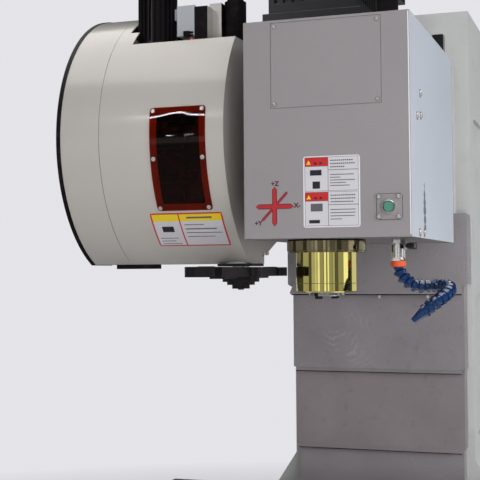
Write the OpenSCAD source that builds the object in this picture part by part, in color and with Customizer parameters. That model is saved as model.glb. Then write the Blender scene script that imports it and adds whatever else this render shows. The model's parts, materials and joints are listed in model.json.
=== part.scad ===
// Vertical machining centre with a disc tool magazine and a double-ended tool change arm.
// Millimetres. The spindle axis is the line x = 0, y = 0 of the modules; z is the height above the floor.
// Each module draws one piece; on_floor() moves it so that the origin lies under the middle of the machine.

/* [Spindle] */
// Height of the spindle nose above the floor
nose_height = 1400; // [1330:1:1450]
// Diameter of the spindle nose
nose_d = 150; // [140:1:160]
// Length of the nose below the flange
nose_len = 97; // [85:1:115]
// Height of the labyrinth cap at the nose's end
cap_h = 22; // [15:1:30]
// Diameter of the spindle flange
flange_d = 195; // [185:1:215]
// Thickness of the spindle flange
flange_h = 32; // [20:1:36]
// Diameter of the turning shaft
shaft_d = 88; // [78:1:96]
// Height of the shaft's end below the nose
shaft_out = 9; // [5:1:12]
// Large diameter of the tool taper
taper_d = 44.45; // [40:0.05:48]
// Depth of the tool taper
taper_len = 65.4; // [55:0.1:75]
// Width of a drive key
key_w = 12; // [10:1:18]
// Angle of the drive keys about the spindle
key_angle = 67; // [0:1:180]
// Diameter of the draw bar
drawbar_d = 24; // [20:1:25]

/* [Head] */
// Left side of the head cover from the spindle axis
head_left = 162; // [156:1:168]
// Right side of the head cover from the spindle axis
head_right = 240; // [225:1:255]
// Front of the head cover from the spindle axis
head_front = 150; // [145:1:165]
// Height of the head cover
head_h = 521; // [500:1:540]
// Depth of the head cover, front to back
head_depth = 640; // [600:1:655]
// Half width of the head casting
casting_half = 130; // [118:1:138]
// Wall of the sheet covers
sheet = 2; // [1.5:0.1:3]
// Width of the access panel
panel_w = 266; // [220:1:280]
// Height of the access panel
panel_h = 204; // [170:1:208]
// Distance of the access panel from the head cover's top
panel_margin = 7; // [6:1:16]
// Size of the square button plate
button_plate_w = 58; // [50:1:64]
// Diameter of the push button
button_d = 24; // [18:1:28]
// Travel of the push button
button_travel = 3; // [2:0.5:5]
// Diameter of the spindle motor's body
spindle_motor_w = 220; // [190:1:235]
// Height of the spindle motor's body
spindle_motor_h = 380; // [300:5:420]

/* [Coolant line] */
// Distance of the coolant line from the spindle axis
coolant_x = 178; // [165:1:190]
// Diameter of a hose segment
hose_d = 34; // [26:1:34]
// Distance between two hose segments
hose_pitch = 16; // [14:0.5:18]
// Ball diameter of a hose segment
hose_ball = 24; // [20:1:25]

/* [Way cover of the head] */
// Half width of the upper stage
stage_half = 268; // [262:1:269]
// Step in half width to the second stage
stage_step = 13; // [12:1:16]
// Visible height of one stage
stage_show = 228; // [215:1:235]
// Overlap of two stages
stage_lap = 60; // [50:1:70]
// Distance between the planes of two stages
stage_gap = 12; // [11:0.5:12.5]
// Reach of a drip lip
lip = 8; // [5:1:9]
// Reach of the upper stage's flared lip
flare = 20; // [12:1:24]

/* [Travels] */
// Table travel to each side
x_travel = 350; // [250:5:350]
// Saddle travel to each side
y_travel = 250; // [180:5:250]
// Head travel upwards
z_up = 110; // [60:5:115]
// Head travel downwards
z_down = 400; // [250:5:400]

/* [Table and saddle] */
// Length of the table
table_l = 1000; // [960:5:1040]
// Width of the table
table_w = 450; // [430:5:480]
// Thickness of the table
table_t = 80; // [60:1:95]
// Height of the table's underside above the floor
table_z = 800; // [795:1:806]
// Number of table slots
slot_count = 5; // [3:2:5]
// Distance between two table slots
slot_pitch = 80; // [70:1:90]
// Width of a table slot
slot_w = 18; // [14:1:22]
// Length of the saddle
saddle_l = 1300; // [1280:5:1310]
// Width of the saddle
saddle_w = 510; // [500:5:520]
// Height of the saddle's top
saddle_z = 730; // [726:1:734]
// Thickness of the saddle's middle
saddle_t = 90; // [84:1:96]
// Length of one table cover
x_cover_l = 375; // [370:1:378]
// Length of one saddle cover
y_cover_l = 285; // [276:1:288]

/* [Guides] */
// Width of a guide rail
rail_w = 34; // [28:1:38]
// Height of a guide rail
rail_h = 30; // [24:1:32]
// Length of a bearing block
block_l = 110; // [90:1:130]
// Width of a bearing block
block_w = 70; // [60:1:76]
// Distance of the table rails from the middle
x_rail_y = 140; // [125:1:145]
// Distance of the base rails from the middle
y_rail_x = 205; // [190:1:210]
// Distance of the column rails from the middle
z_rail_x = 185; // [170:1:190]
// Diameter of a ball screw
screw_d = 32; // [25:1:36]
// Size of an axis motor
motor_w = 110; // [90:1:116]

/* [Base and column] */
// Half width of the base
base_half = 400; // [390:1:420]
// Front of the base from the spindle axis
base_front = 830; // [825:1:860]
// Rear of the base from the spindle axis
base_rear = 1150; // [1140:1:1200]
// Height of the base's underside
foot_h = 60; // [45:1:80]
// Height of the base's top
base_z = 560; // [554:1:562]
// Half width of the column
column_half = 270; // [270:1:272]
// Front of the column from the spindle axis
column_front = 640; // [640:1:646]
// Depth of the column
column_depth = 480; // [460:1:500]
// Height of the column's top
column_z = 2220; // [2215:1:2260]
// Wall of the castings
wall = 40; // [30:1:48]
// Diameter of a levelling foot
foot_d = 120; // [90:1:130]

/* [Magazine] */
// Radius of the magazine cover
drum_r = 370; // [366:1:374]
// Distance of the magazine's middle behind the spindle
drum_y = 264; // [260:1:268]
// Height of the magazine's middle above the nose
drum_z = 403; // [400:1:406]
// Left end of the magazine cover
drum_left = 692; // [680:1:710]
// Right end of the magazine cover
drum_right = 231; // [229:1:232]
// Height of the cover's flat bottom above the nose
drum_bottom = 73; // [71:1:74]
// Wall of the magazine cover
drum_wall = 3; // [2:0.5:3]
// Width of the black edge band
band_w = 12; // [8:1:16]
// Left end of the top notch
notch_left = 519; // [505:1:530]
// Front edge of the top notch before the spindle axis
notch_front = 20; // [10:1:30]
// Width of the window pane
pane_w = 150; // [130:1:160]
// Height of the window pane
pane_h = 258; // [230:1:262]
// Width of the pane's margin on the cover
pane_margin = 17; // [12:1:22]
// Number of tool pots
pot_count = 20; // [16:1:20]
// Radius of the circle of tool pots
pot_ring_r = 238; // [236:1:240]
// Diameter of a tool pot
pot_d = 62; // [56:1:63]
// Length of a tool pot
pot_l = 110; // [100:1:112]
// Distance of a pot's hinge pin from the pot's middle
pot_pin_in = 44; // [42:1:46]

/* [Tool change arm] */
// Distance of the arm's middle from the spindle axis along x
arm_x = 270; // [268:1:271]
// Distance of the arm's middle behind the spindle axis
arm_y = 132; // [130:1:134]
// Radius from the arm's middle to a gripper
arm_r = 300; // [296:1:304]
// Thickness of the arm
arm_t = 25; // [20:1:25]
// Height of the arm's underside above the nose
arm_z = 39; // [34:1:39]
// Angle of the parked arm
arm_angle = 92; // [90:1:94]
// Radius of the gripper's seat
grip_r = 27; // [24:1:29]
// Diameter of the arm's shaft
arm_shaft_d = 44; // [38:1:46]
// Stroke of the arm
arm_stroke = 115; // [80:5:115]

/* [Electrical cabinet] */
// Half width of the cabinet
cabinet_half = 350; // [320:1:380]
// Depth of the cabinet
cabinet_d = 360; // [300:5:400]
// Underside of the cabinet above the floor
cabinet_z = 620; // [600:5:680]
// Height of the cabinet
cabinet_h = 1370; // [1200:5:1450]
// Depth of the cabinet door
door_t = 22; // [18:1:26]

/* [Fits] */
// Radial clearance of a running shaft
run_fit = 0.05; // [0.02:0.01:0.1]
// Clearance between a sliding block and its rail
slide_fit = 0.4; // [0.3:0.05:0.6]
// Clearance between a loose piece and its seat
seat_fit = 0.3; // [0.2:0.05:0.4]

/* [Hidden] */
$fn = 48;
eps = 1;

painted_grey = [0.60, 0.58, 0.60];
side_grey = [0.74, 0.78, 0.82];
beige = [0.76, 0.73, 0.69];
casting_grey = [0.62, 0.63, 0.62];
black = [0.07, 0.07, 0.08];
steel = [0.66, 0.67, 0.69];
dark_steel = [0.32, 0.32, 0.34];
gold = [0.82, 0.76, 0.36];

nose_z = nose_height;
flange_z = nose_z + nose_len;
flange_gap = 3.5;
head_z = flange_z + flange_h;
head_top = head_z + head_h;
head_back = head_depth - head_front;
casting_top = head_z + 370;
housing_top = casting_top - 50;
shaft_top = housing_top + 30;
stool_h = head_top - casting_top;
spindle_motor_z = head_top;

table_top = table_z + table_t;
carriage_back = column_front - 55;
carriage_thick = 40;
carriage_bottom = head_z + 86;
carriage_top = carriage_bottom + 425;
neck_back = carriage_back - 33;
z_rail_low = 950;
z_rail_high = column_z - 70;
z_screw_y = column_front + 40;
stage_plane = column_front - 84;
stage_low = nose_z - 14;
skirt_up = 20;
fold_up = 40;
stage_nest = 4;
stage_side = column_front - 6;

base_top_half = 275;
nest = 6;
y_half = base_top_half - 25;
y_top = base_z + 86;
x_half = 188;
x_top = table_z + 6;
x_cover_end = table_l / 2 + x_travel + x_cover_l;

x_screw_z = saddle_z + 5;
y_screw_z = base_z + 18;
x_block_x = 200;
y_block_y = 185;

trough_half = 95;
trough_z = base_z - 75;
arch_half = 285;
arch_top = 720;
arch_back = base_front;
shoulder_low = 700;
shoulder_high = 900;

drum_zc = nose_z + drum_z;
drum_base = nose_z + drum_bottom;
notch_z = nose_z + 652;
side_step_y = column_front - 110;
side_step_x = drum_right + 59;
disc_x = 620;
pot_pin_r = pot_ring_r - pot_pin_in;
change_x = 2 * arm_x;
pot_pin_x = -change_x + pot_pin_in;
change_gap = z_up;
pot_mouth = drum_zc - pot_pin_r - (nose_z + change_gap);
pot_front = pot_pin_x + pot_mouth;
pot_back = pot_front - pot_l;
hub_ring_out = pot_pin_r - 29;
hub_ring_in = hub_ring_out - 35;
cam_left = arm_x + 63;
cam_right = drum_right + 5;
cam_front = arm_y - 70;
cam_back = arm_y + 56;
cam_top = drum_zc + 241;
sleeve_d = 60;
cam_base = drum_base + drum_wall;
cam_toe_z = drum_zc - sqrt(pow(drum_r - drum_wall, 2) - pow(drum_y - cam_front, 2)) + 4;
cam_toe_y = drum_y - sqrt(pow(drum_r - drum_wall, 2) - pow(drum_zc - cam_base, 2)) + 4;
bracket_left = cam_left - 3;
bracket_right = column_half + 10;
arm_motor_x = 487;
arm_motor_y = 85;
arm_motor_w = 106;
shelf_t = 12;
arm_motor_z = cam_top;

cabinet_y = column_front + column_depth + 10;
cabinet_back = cabinet_y + cabinet_d;
door_back = cabinet_back + door_t;
hinge_d = 24;
hinge_pin = 8;
hinge_h = 40;
hinge_out = hinge_d / 2 + 1;
handle_out = 28;
floor_mid = (door_back + handle_out - base_front) / 2;

feet_y = [-base_front + 60, (base_rear - base_front) / 2, base_rear - 70];
foot_x = base_half + 35;

// Block from its lower to its upper limits on the three axes
module block(x, y, z) {
    translate([x[0], y[0], z[0]])
        cube([x[1] - x[0], y[1] - y[0], z[1] - z[0]]);
}

// Upright cylinder over the point p from height z[0] to z[1]
module post(p, z, d) {
    translate([p[0], p[1], z[0]])
        cylinder(h = z[1] - z[0], d = d);
}

// Cylinder along x at the point (y, z) given by p
module rod_x(x, p, d) {
    translate([x[0], p[0], p[1]])
        rotate([0, 90, 0])
            cylinder(h = x[1] - x[0], d = d);
}

// Cylinder along y at the point (x, z) given by p
module rod_y(y, p, d) {
    translate([p[0], y[0], p[1]])
        rotate([-90, 0, 0])
            cylinder(h = y[1] - y[0], d = d);
}

// Upright tube
module tube(p, z, d_out, d_in) {
    difference() {
        post(p, z, d_out);
        post(p, [z[0] - eps, z[1] + eps], d_in);
    }
}

// Outline in (radius, height) turned about the z axis
module turned(outline) {
    rotate_extrude()
        polygon(outline);
}

// Profile drawn in (y, z) and pulled along x
module along_x(x) {
    translate([x[0], 0, 0])
        rotate([90, 0, 90])
            linear_extrude(height = x[1] - x[0])
                children();
}

// Profile drawn in (x, z) and pulled along y
module along_y(y) {
    translate([0, y[1], 0])
        rotate([90, 0, 0])
            linear_extrude(height = y[1] - y[0])
                children();
}

// Flat rectangle with round corners, from its lower left corner
module round_rect(w, h, r) {
    translate([r, 0])
        square([w - 2 * r, h]);
    translate([0, r])
        square([w, h - 2 * r]);
    for (x = [r, w - r])
        for (y = [r, h - r])
            translate([x, y])
                circle(r = r);
}

module mirrored_x() {
    children();
    mirror([1, 0, 0])
        children();
}

module mirrored_y() {
    children();
    mirror([0, 1, 0])
        children();
}

// The whole machine stands on the floor with the origin under its middle
module on_floor() {
    translate([0, -floor_mid, 0])
        children();
}

// Bearing block that straddles a rail along x; the rail's foot is at height z
module rail_block(z, top) {
    difference() {
        block([-block_l / 2, block_l / 2], [-block_w / 2, block_w / 2], [z + rail_h * 0.55, top]);
        block([-block_l, block_l], [-rail_w / 2 - slide_fit, rail_w / 2 + slide_fit],
            [z - eps, z + rail_h + slide_fit]);
    }
}

// Rail with chamfered flanks along x, on the height z
module rail(l, z) {
    along_x([-l / 2, l / 2])
        polygon([[-rail_w / 2, z], [rail_w / 2, z], [rail_w / 2, z + rail_h * 0.3],
            [rail_w / 2 - 5, z + rail_h * 0.5], [rail_w / 2, z + rail_h * 0.7], [rail_w / 2, z + rail_h - 2],
            [rail_w / 2 - 2, z + rail_h], [-rail_w / 2 + 2, z + rail_h], [-rail_w / 2, z + rail_h - 2],
            [-rail_w / 2, z + rail_h * 0.7], [-rail_w / 2 + 5, z + rail_h * 0.5],
            [-rail_w / 2, z + rail_h * 0.3]]);
}

// Square servo motor that stands on z = 0 with its shaft pointing down
module servo(w, h) {
    color(black) {
        translate([0, 0, h / 2])
            cube([w, w, h], center = true);
        translate([0, 0, h])
            cylinder(h = 30, d = w * 0.72);
        translate([0, w / 2 - eps, h - 46])
            rotate([-90, 0, 0])
                cylinder(h = 22 + eps, d = 30);
    }
}

// Inverted channel of sheet over the y ways
module channel_y(y, half, top, bottom) {
    along_y(y)
        channel_profile(half, top, bottom);
}

module channel_profile(half, top, bottom) {
    difference() {
        translate([-half, bottom])
            square([2 * half, top - bottom]);
        translate([-half + sheet, bottom - eps])
            square([2 * half - 2 * sheet, top - bottom - sheet + eps]);
    }
}

// Glider strip on a channel's inner end, which the next channel slides on
module glide_y(y, half, top) {
    block([-half + 20, half - 20], [y, y + 12], [top - 0.5, top + nest - sheet - seat_fit]);
}

module glide_x(x, half, top) {
    block([x + 2 * sheet, x + 2 * sheet + 12], [-half + 20, half - 20], [top - 0.5, top + nest - sheet - seat_fit]);
}

// Inverted channel of sheet over the x ways
module channel_x(x, half, top, bottom) {
    along_x(x)
        channel_profile(half, top, bottom);
}

// One stage of the head's way cover: front plate, folded sides, top fold and flared drip lip
module way_stage(half, plane, low, high, side) {
    color(painted_grey) {
        difference() {
            block([-half, half], [plane, side], [low + lip, high]);
            block([-half + sheet, half - sheet], [plane + sheet, side + eps], [low - eps, high - sheet]);
            block([-half - eps, half + eps], [carriage_back - 8, side + eps], [high - sheet - eps, high + eps]);
        }
        along_x([-half + 8, half - 8])
            polygon([[plane, low + lip], [plane - lip, low], [plane - lip, low - sheet],
                [plane - lip + sheet, low - sheet], [plane + sheet, low + lip - eps], [plane + sheet, low + lip + eps],
                [plane, low + lip + eps]]);
    }
}

// Glider on a stage's upper edge, which runs behind the stage before it
module stage_glide(half, plane, high) {
    color(black)
        block([-half + 20, half - 20], [plane - stage_gap + sheet + seat_fit, plane + 0.5], [high - 14, high]);
}

module base_casting() {
    pocket_top = base_z - 200;
    pocket_y = (base_rear + base_front - 4 * wall) / 3;
    bearing_y = y_screw_end() - 30;
    color(casting_grey)
        difference() {
            union() {
                difference() {
                    along_y([-base_front, column_front])
                        polygon([[-base_half, foot_h], [base_half, foot_h], [base_half, base_z - 160],
                            [base_top_half, base_z - 40], [base_top_half, base_z], [-base_top_half, base_z],
                            [-base_top_half, base_z - 40], [-base_half, base_z - 160]]);
                    block([-trough_half, trough_half], [-base_front + 30, column_front - 10], [trough_z, base_z + eps]);
                }
                block([-45, 45], [bearing_y, bearing_y + 30], [trough_z - eps, y_screw_z + 32]);
                block([-base_half, base_half], [column_front - eps, base_rear], [foot_h, base_z]);
                for (y = feet_y)
                    mirrored_x()
                        block([base_half - eps, foot_x + 35], [y - 50, y + 50], [foot_h, foot_h + 70]);
            }
            for (i = [0:2])
                mirrored_x()
                    block([wall / 2, base_half - wall],
                        [-base_front + wall + i * (pocket_y + wall),
                            -base_front + wall + i * (pocket_y + wall) + pocket_y],
                        [foot_h - eps, pocket_top]);
            rod_y([bearing_y - eps, bearing_y + 31], [0, y_screw_z], screw_d + 2 * run_fit);
            for (y = feet_y)
                mirrored_x()
                    post([foot_x, y], [foot_h - eps, foot_h + 71], 31);
        }
}

function y_screw_end() = column_front - 60;

module levelling_feet() {
    color(dark_steel)
        for (y = feet_y)
            mirrored_x() {
                post([foot_x, y], [0, 18], foot_d);
                translate([foot_x, y, 18 - eps])
                    cylinder(h = 14 + eps, d1 = foot_d * 0.7, d2 = 44);
                post([foot_x, y], [30, foot_h + 105], 30);
                translate([foot_x, y, foot_h - 18])
                    cylinder(h = 18, d = 50, $fn = 6);
                translate([foot_x, y, foot_h + 70])
                    cylinder(h = 22, d = 50, $fn = 6);
            }
}

module linear_rails() {
    color(steel) {
        mirrored_x()
            translate([y_rail_x, 0, 0])
                rotate([0, 0, 90])
                    rail(1000, base_z);
        mirrored_x()
            translate([z_rail_x, column_front, (z_rail_low + z_rail_high) / 2])
                rotate([0, 90, 0])
                    rotate([90, 0, 0])
                        rail(z_rail_high - z_rail_low, 0);
    }
}

module column() {
    back = column_front + column_depth;
    hollow_front = column_front + 170;
    rib_z = 1450;
    color(casting_grey)
        difference() {
            union() {
                along_y([column_front, back])
                    polygon([[-base_half, base_z], [base_half, base_z], [base_half, shoulder_low],
                        [column_half, shoulder_high], [column_half, column_z], [-column_half, column_z],
                        [-column_half, shoulder_high], [-base_half, shoulder_low]]);
            }
            block([-arch_half, arch_half], [column_front - eps, arch_back], [base_z - eps, arch_top]);
            block([-100, 100], [column_front - eps, column_front + 120], [z_rail_low, z_rail_high]);
            post([0, z_screw_y], [z_rail_high - eps, column_z + eps], screw_d + 2 * run_fit);
            post([0, z_screw_y], [z_rail_low - 30, z_rail_low + eps], screw_d + 2 * run_fit);
            for (z = [[shoulder_high, rib_z - wall / 2], [rib_z + wall / 2, column_z - 70]]) {
                block([-column_half + wall, column_half - wall], [hollow_front, back - wall], z);
                block([-column_half + 110, column_half - 110], [back - wall - eps, back + eps], [z[0] + 60, z[1] - 60]);
            }
            mirrored_x()
                for (z = [shoulder_high + 60, rib_z + 40])
                    translate([-column_half - eps, column_front + 70, z])
                        rotate([90, 0, 90])
                            linear_extrude(height = 12 + eps)
                                round_rect(column_depth - 140, 420, 40);
        }
}

module axis_motors() {
    translate([0, z_screw_y, column_z + 60])
        servo(motor_w + 20, 190);
    color(casting_grey)
        tube([0, z_screw_y], [column_z, column_z + 60], motor_w, screw_d + 8);
    translate([0, -base_front + 200, y_screw_z])
        rotate([90, 0, 0])
            rotate([0, 0, 180])
                servo(motor_w, 120);
    color(casting_grey)
        difference() {
            block([-motor_w / 2, motor_w / 2], [-base_front + 200, -base_front + 220],
                [trough_z, y_screw_z + motor_w / 2]);
            rod_y([-base_front + 199, -base_front + 221], [0, y_screw_z], screw_d + 2 * run_fit);
        }
}

module fixed_covers() {
    low = stage_low - 3 * stage_show;
    fixed_half = stage_half - stage_step - 2 * stage_nest - 2;
    fixed_plane = stage_plane + 3 * stage_gap;
    color(painted_grey) {
        mirrored_y() {
            channel_y([base_front - 30 - y_cover_l, base_front - 30], y_half, y_top, base_z);
            glide_y(base_front - 30 - y_cover_l, y_half, y_top);
        }
        block([-y_half, y_half], [-base_front + 28, -base_front + 30 + sheet], [base_z, y_top]);
    }
    way_stage(fixed_half, fixed_plane, low, low + stage_show + stage_lap, column_front);
    stage_glide(fixed_half, fixed_plane, low + stage_show + stage_lap);
}

module saddle() {
    arm_z = saddle_z - 50;
    color(casting_grey)
        difference() {
            union() {
                along_y([-saddle_w / 2, saddle_w / 2])
                    polygon([[-saddle_l / 2, arm_z], [-320, saddle_z - saddle_t], [320, saddle_z - saddle_t],
                        [saddle_l / 2, arm_z], [saddle_l / 2, saddle_z], [-saddle_l / 2, saddle_z]]);
                block([-50, 50], [-55, 55], [y_screw_z - 32, saddle_z - saddle_t + eps]);
                mirrored_x()
                    block([saddle_l / 2 - 30, saddle_l / 2], [-45, 45], [saddle_z - eps, x_screw_z + 28]);
            }
            block([-saddle_l / 2 + 30, saddle_l / 2 - 30], [-60, 60], [saddle_z - 38, saddle_z + 40]);
            rod_x([-saddle_l / 2 - eps, saddle_l / 2 + eps], [0, x_screw_z], screw_d + 2 * run_fit);
            rod_y([-56, 56], [0, y_screw_z], screw_d + 2 * run_fit);
        }
}

module saddle_blocks() {
    color(dark_steel)
        for (y = [-y_block_y, y_block_y])
            mirrored_x()
                translate([y_rail_x, y, 0])
                    rotate([0, 0, 90])
                        rail_block(base_z, saddle_z - saddle_t);
}

module x_rails() {
    color(steel)
        mirrored_y()
            translate([0, x_rail_y, 0])
                rail(saddle_l - 20, saddle_z);
}

module x_motor() {
    color(casting_grey)
        difference() {
            block([saddle_l / 2, saddle_l / 2 + 20], [-motor_w / 2, motor_w / 2],
                [saddle_z - 50, x_screw_z + motor_w / 2]);
            rod_x([saddle_l / 2 - eps, saddle_l / 2 + 21], [0, x_screw_z], screw_d + 2 * run_fit);
        }
    translate([saddle_l / 2 + 20, 0, x_screw_z])
        rotate([0, 90, 0])
            servo(motor_w, 120);
}

// Covers that the saddle carries: the outer table covers with their trays, and the first y covers
module saddle_covers() {
    tray_z = saddle_z - 62;
    color(painted_grey) {
        mirrored_x() {
            channel_x([x_cover_end - x_cover_l, x_cover_end], x_half, x_top, tray_z);
            glide_x(x_cover_end - x_cover_l, x_half, x_top);
            block([saddle_l / 2 + seat_fit, x_cover_end], [-x_half, x_half], [tray_z, tray_z + sheet]);
            block([saddle_l / 2 + seat_fit, saddle_l / 2 + seat_fit + sheet], [-x_half, -motor_w / 2 - 5],
                [tray_z, saddle_z - 4]);
            block([saddle_l / 2 + seat_fit, saddle_l / 2 + seat_fit + sheet], [motor_w / 2 + 5, x_half],
                [tray_z, saddle_z - 4]);
            block([x_cover_end - sheet, x_cover_end], [-x_half, x_half], [tray_z, x_top]);
        }
        mirrored_y() {
            channel_y([saddle_w / 2 + seat_fit, saddle_w / 2 + y_cover_l], y_half + 2 * nest, y_top + 2 * nest,
                base_z + 4);
            difference() {
                block([-y_half - 2 * nest, y_half + 2 * nest],
                    [saddle_w / 2 + seat_fit, saddle_w / 2 + seat_fit + sheet], [base_z + 60, saddle_z - 20]);
                block([-motor_w, motor_w], [saddle_w / 2, saddle_w / 2 + 5], [base_z, base_z + 80]);
            }
        }
    }
}

module y_cover_mid() {
    near = (saddle_w / 2 + base_front - 30 - y_cover_l) / 2;
    color(painted_grey)
        mirrored_y() {
            channel_y([near, near + y_cover_l], y_half + nest, y_top + nest, base_z + 4);
            glide_y(near, y_half + nest, y_top + nest);
        }
}

module y_screw() {
    color(steel)
        rod_y([-base_front + 201, y_screw_end()], [0, y_screw_z], screw_d);
}

module table() {
    t_w = slot_w * 1.7;
    t_z = table_top - slot_w * 1.5;
    first = -slot_pitch * (slot_count - 1) / 2;
    color(steel)
        difference() {
            union() {
                block([-table_l / 2, table_l / 2], [-table_w / 2, table_w / 2], [table_z, table_top]);
                block([-50, 50], [-48, 48], [x_screw_z - 28, table_z + eps]);
            }
            for (i = [0:slot_count - 1])
                translate([0, first + i * slot_pitch, 0]) {
                    block([-table_l, table_l], [-slot_w / 2, slot_w / 2], [t_z, table_top + eps]);
                    block([-table_l, table_l], [-t_w / 2, t_w / 2], [t_z - slot_w * 0.7, t_z]);
                }
            rod_x([-51, 51], [0, x_screw_z], screw_d + 2 * run_fit);
        }
}

module table_blocks() {
    color(dark_steel)
        for (x = [-x_block_x, x_block_x])
            mirrored_y()
                translate([x, x_rail_y, 0])
                    rail_block(saddle_z, table_z);
}

module table_covers() {
    outer = x_half + 2 * nest;
    color(painted_grey)
        mirrored_x() {
            channel_x([table_l / 2 + seat_fit, table_l / 2 + x_cover_l], outer, x_top + 2 * nest, saddle_z + 6);
            block([table_l / 2 + seat_fit, table_l / 2 + seat_fit + sheet], [-outer, outer],
                [x_top + nest + seat_fit, x_top + 2 * nest]);
        }
}

module x_cover_mid() {
    near = (table_l / 2 + x_cover_end - x_cover_l) / 2;
    color(painted_grey)
        mirrored_x() {
            channel_x([near, near + x_cover_l], x_half + nest, x_top + nest, saddle_z + 6);
            glide_x(near, x_half + nest, x_top + nest);
        }
}

module x_screw() {
    color(steel)
        rod_x([-saddle_l / 2 + 10, saddle_l / 2 + 19], [0, x_screw_z], screw_d);
}

module head_casting() {
    nut_z = carriage_bottom + 100;
    color(casting_grey)
        difference() {
            union() {
                along_x([-casting_half, casting_half])
                    polygon([[-head_front + 30, head_z + sheet], [neck_back, head_z + sheet],
                        [neck_back, carriage_bottom], [carriage_back - eps, carriage_bottom],
                        [carriage_back - eps, carriage_top], [neck_back - 60, carriage_top],
                        [neck_back - 160, casting_top], [-head_front + 30, casting_top]]);
                block([-column_half + 35, column_half - 35], [carriage_back - carriage_thick, carriage_back],
                    [carriage_bottom, carriage_top]);
                block([-60, 60], [carriage_back - eps, z_screw_y + 45], [nut_z, nut_z + 100]);
                post([0, 0], [head_z, head_z + 3], flange_d);
                tube([0, 0], [casting_top - eps, head_top - seat_fit], 240, 190);
            }
            post([0, 0], [head_z - eps, casting_top + eps], nose_d + 2 * run_fit);
            post([0, z_screw_y], [nut_z - eps, nut_z + 101], screw_d + 2 * run_fit);
            block([-140, 140], [-50, 50], [casting_top + 30, casting_top + 110]);
        }
}

module head_blocks() {
    color(dark_steel)
        for (z = [carriage_bottom + 60, carriage_top - 60])
            mirrored_x()
                translate([z_rail_x, column_front, z])
                    rotate([0, 90, 0])
                        rotate([90, 0, 0])
                            rail_block(0, column_front - carriage_back);
}

// Folded sheet housing of the head, with the joggled opening of the access panel
module head_cover() {
    left = -head_left;
    right = head_right;
    panel_x = (right + left) / 2 - panel_w / 2 + 1;
    panel_z = head_top - panel_margin - panel_h;
    color(painted_grey)
        difference() {
            union() {
                difference() {
                    block([left, right], [-head_front, head_back], [head_z, head_top]);
                    block([left + sheet, right - sheet], [-head_front + sheet, head_back + eps],
                        [head_z + sheet, head_top - sheet]);
                    translate([panel_x - 0.8, -head_front + sheet + eps, panel_z - 0.8])
                        rotate([90, 0, 0])
                            linear_extrude(height = sheet + 2 * eps)
                                round_rect(panel_w + 1.6, panel_h + 1.6, 6);
                }
                block([panel_x - 12, panel_x + panel_w + 12],
                    [-head_front + sheet, -head_front + 2 * sheet], [panel_z - 12, head_top - eps]);
            }
            block([panel_x + 12, panel_x + panel_w - 12], [-head_front - eps, -head_front + 3 * sheet],
                [panel_z + 12, panel_z + panel_h - 12]);
            post([0, 0], [head_z - eps, head_z + sheet + eps], flange_d + 2);
            block([-spindle_motor_w / 2 - 15, spindle_motor_w / 2 + 15], [-125, 125], [head_top - 3, head_top + eps]);
            block([-casting_half - 4, casting_half + 4], [250, head_back + eps], [head_top - 3, head_top + eps]);
            rod_y([-head_front - eps, -head_front + 3], button_at(), button_d + 4);
            post([coolant_x, 0], [head_z - eps, head_z + sheet + eps], 23);
        }
}

// Place of the push button's middle in x and z
function button_at() = [head_right - 51, head_z + 69];

module access_panel() {
    panel_x = (head_right - head_left) / 2 - panel_w / 2 + 1;
    color(painted_grey)
        translate([panel_x, -head_front + sheet, head_top - panel_margin - panel_h])
            rotate([90, 0, 0])
                linear_extrude(height = sheet)
                    round_rect(panel_w, panel_h, 5);
}

module spindle_flange() {
    color(steel)
        difference() {
            union() {
                post([0, 0], [flange_z + 4, head_z - flange_gap], flange_d);
                post([0, 0], [head_z - flange_gap - eps, head_z], flange_d - 4);
                post([0, 0], [flange_z, flange_z + 4 + eps], flange_d - 6);
            }
            post([0, 0], [flange_z - eps, head_z + eps], nose_d + 2 * run_fit);
            for (a = [15:30:345])
                rotate([0, 0, a])
                    post([(nose_d + flange_d) / 4, 0], [flange_z - eps, flange_z + 9], 11);
        }
}

module spindle_housing() {
    color(gold)
        difference() {
            union() {
                post([0, 0], [nose_z + cap_h + 0.6, housing_top], nose_d);
                post([0, 0], [nose_z + cap_h, nose_z + cap_h + 1], nose_d - 1.6);
            }
            post([0, 0], [nose_z, housing_top + eps], shaft_d + 2 * run_fit);
        }
}

module nose_cap() {
    chamfer = 3;
    color(gold)
        difference() {
            turned([[shaft_d / 2 + 0.5, nose_z], [nose_d / 2 - chamfer, nose_z], [nose_d / 2, nose_z + chamfer],
                [nose_d / 2, nose_z + cap_h], [shaft_d / 2 + 0.5, nose_z + cap_h]]);
            for (a = [30:60:330])
                rotate([0, 0, a])
                    post([(nose_d + shaft_d) / 4, 0], [nose_z - eps, nose_z + 7], 10);
        }
}

module spindle_shaft() {
    slot_depth = 8;
    low = nose_z - shaft_out;
    bore_r = drawbar_d / 2 + run_fit;
    color(steel)
        difference() {
            turned([[taper_d / 2, low], [shaft_d / 2 - 2, low], [shaft_d / 2, low + 2], [shaft_d / 2, shaft_top],
                [bore_r, shaft_top], [bore_r, low + taper_len], [taper_d / 2 - taper_len * 7 / 48, low + taper_len]]);
            rotate([0, 0, key_angle])
                block([-shaft_d, shaft_d], [-key_w / 2, key_w / 2], [low - eps, low + slot_depth]);
        }
}

module drive_keys() {
    color(black)
        rotate([0, 0, key_angle])
            mirrored_x()
                difference() {
                    block([taper_d / 2 + 3, shaft_d / 2 - 4], [-key_w / 2, key_w / 2],
                        [nose_z - shaft_out - 7, nose_z - shaft_out + 8]);
                    post([shaft_d / 4 + taper_d / 4, 0], [nose_z - shaft_out - 8, nose_z - shaft_out - 2], 5);
                }
}

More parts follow.
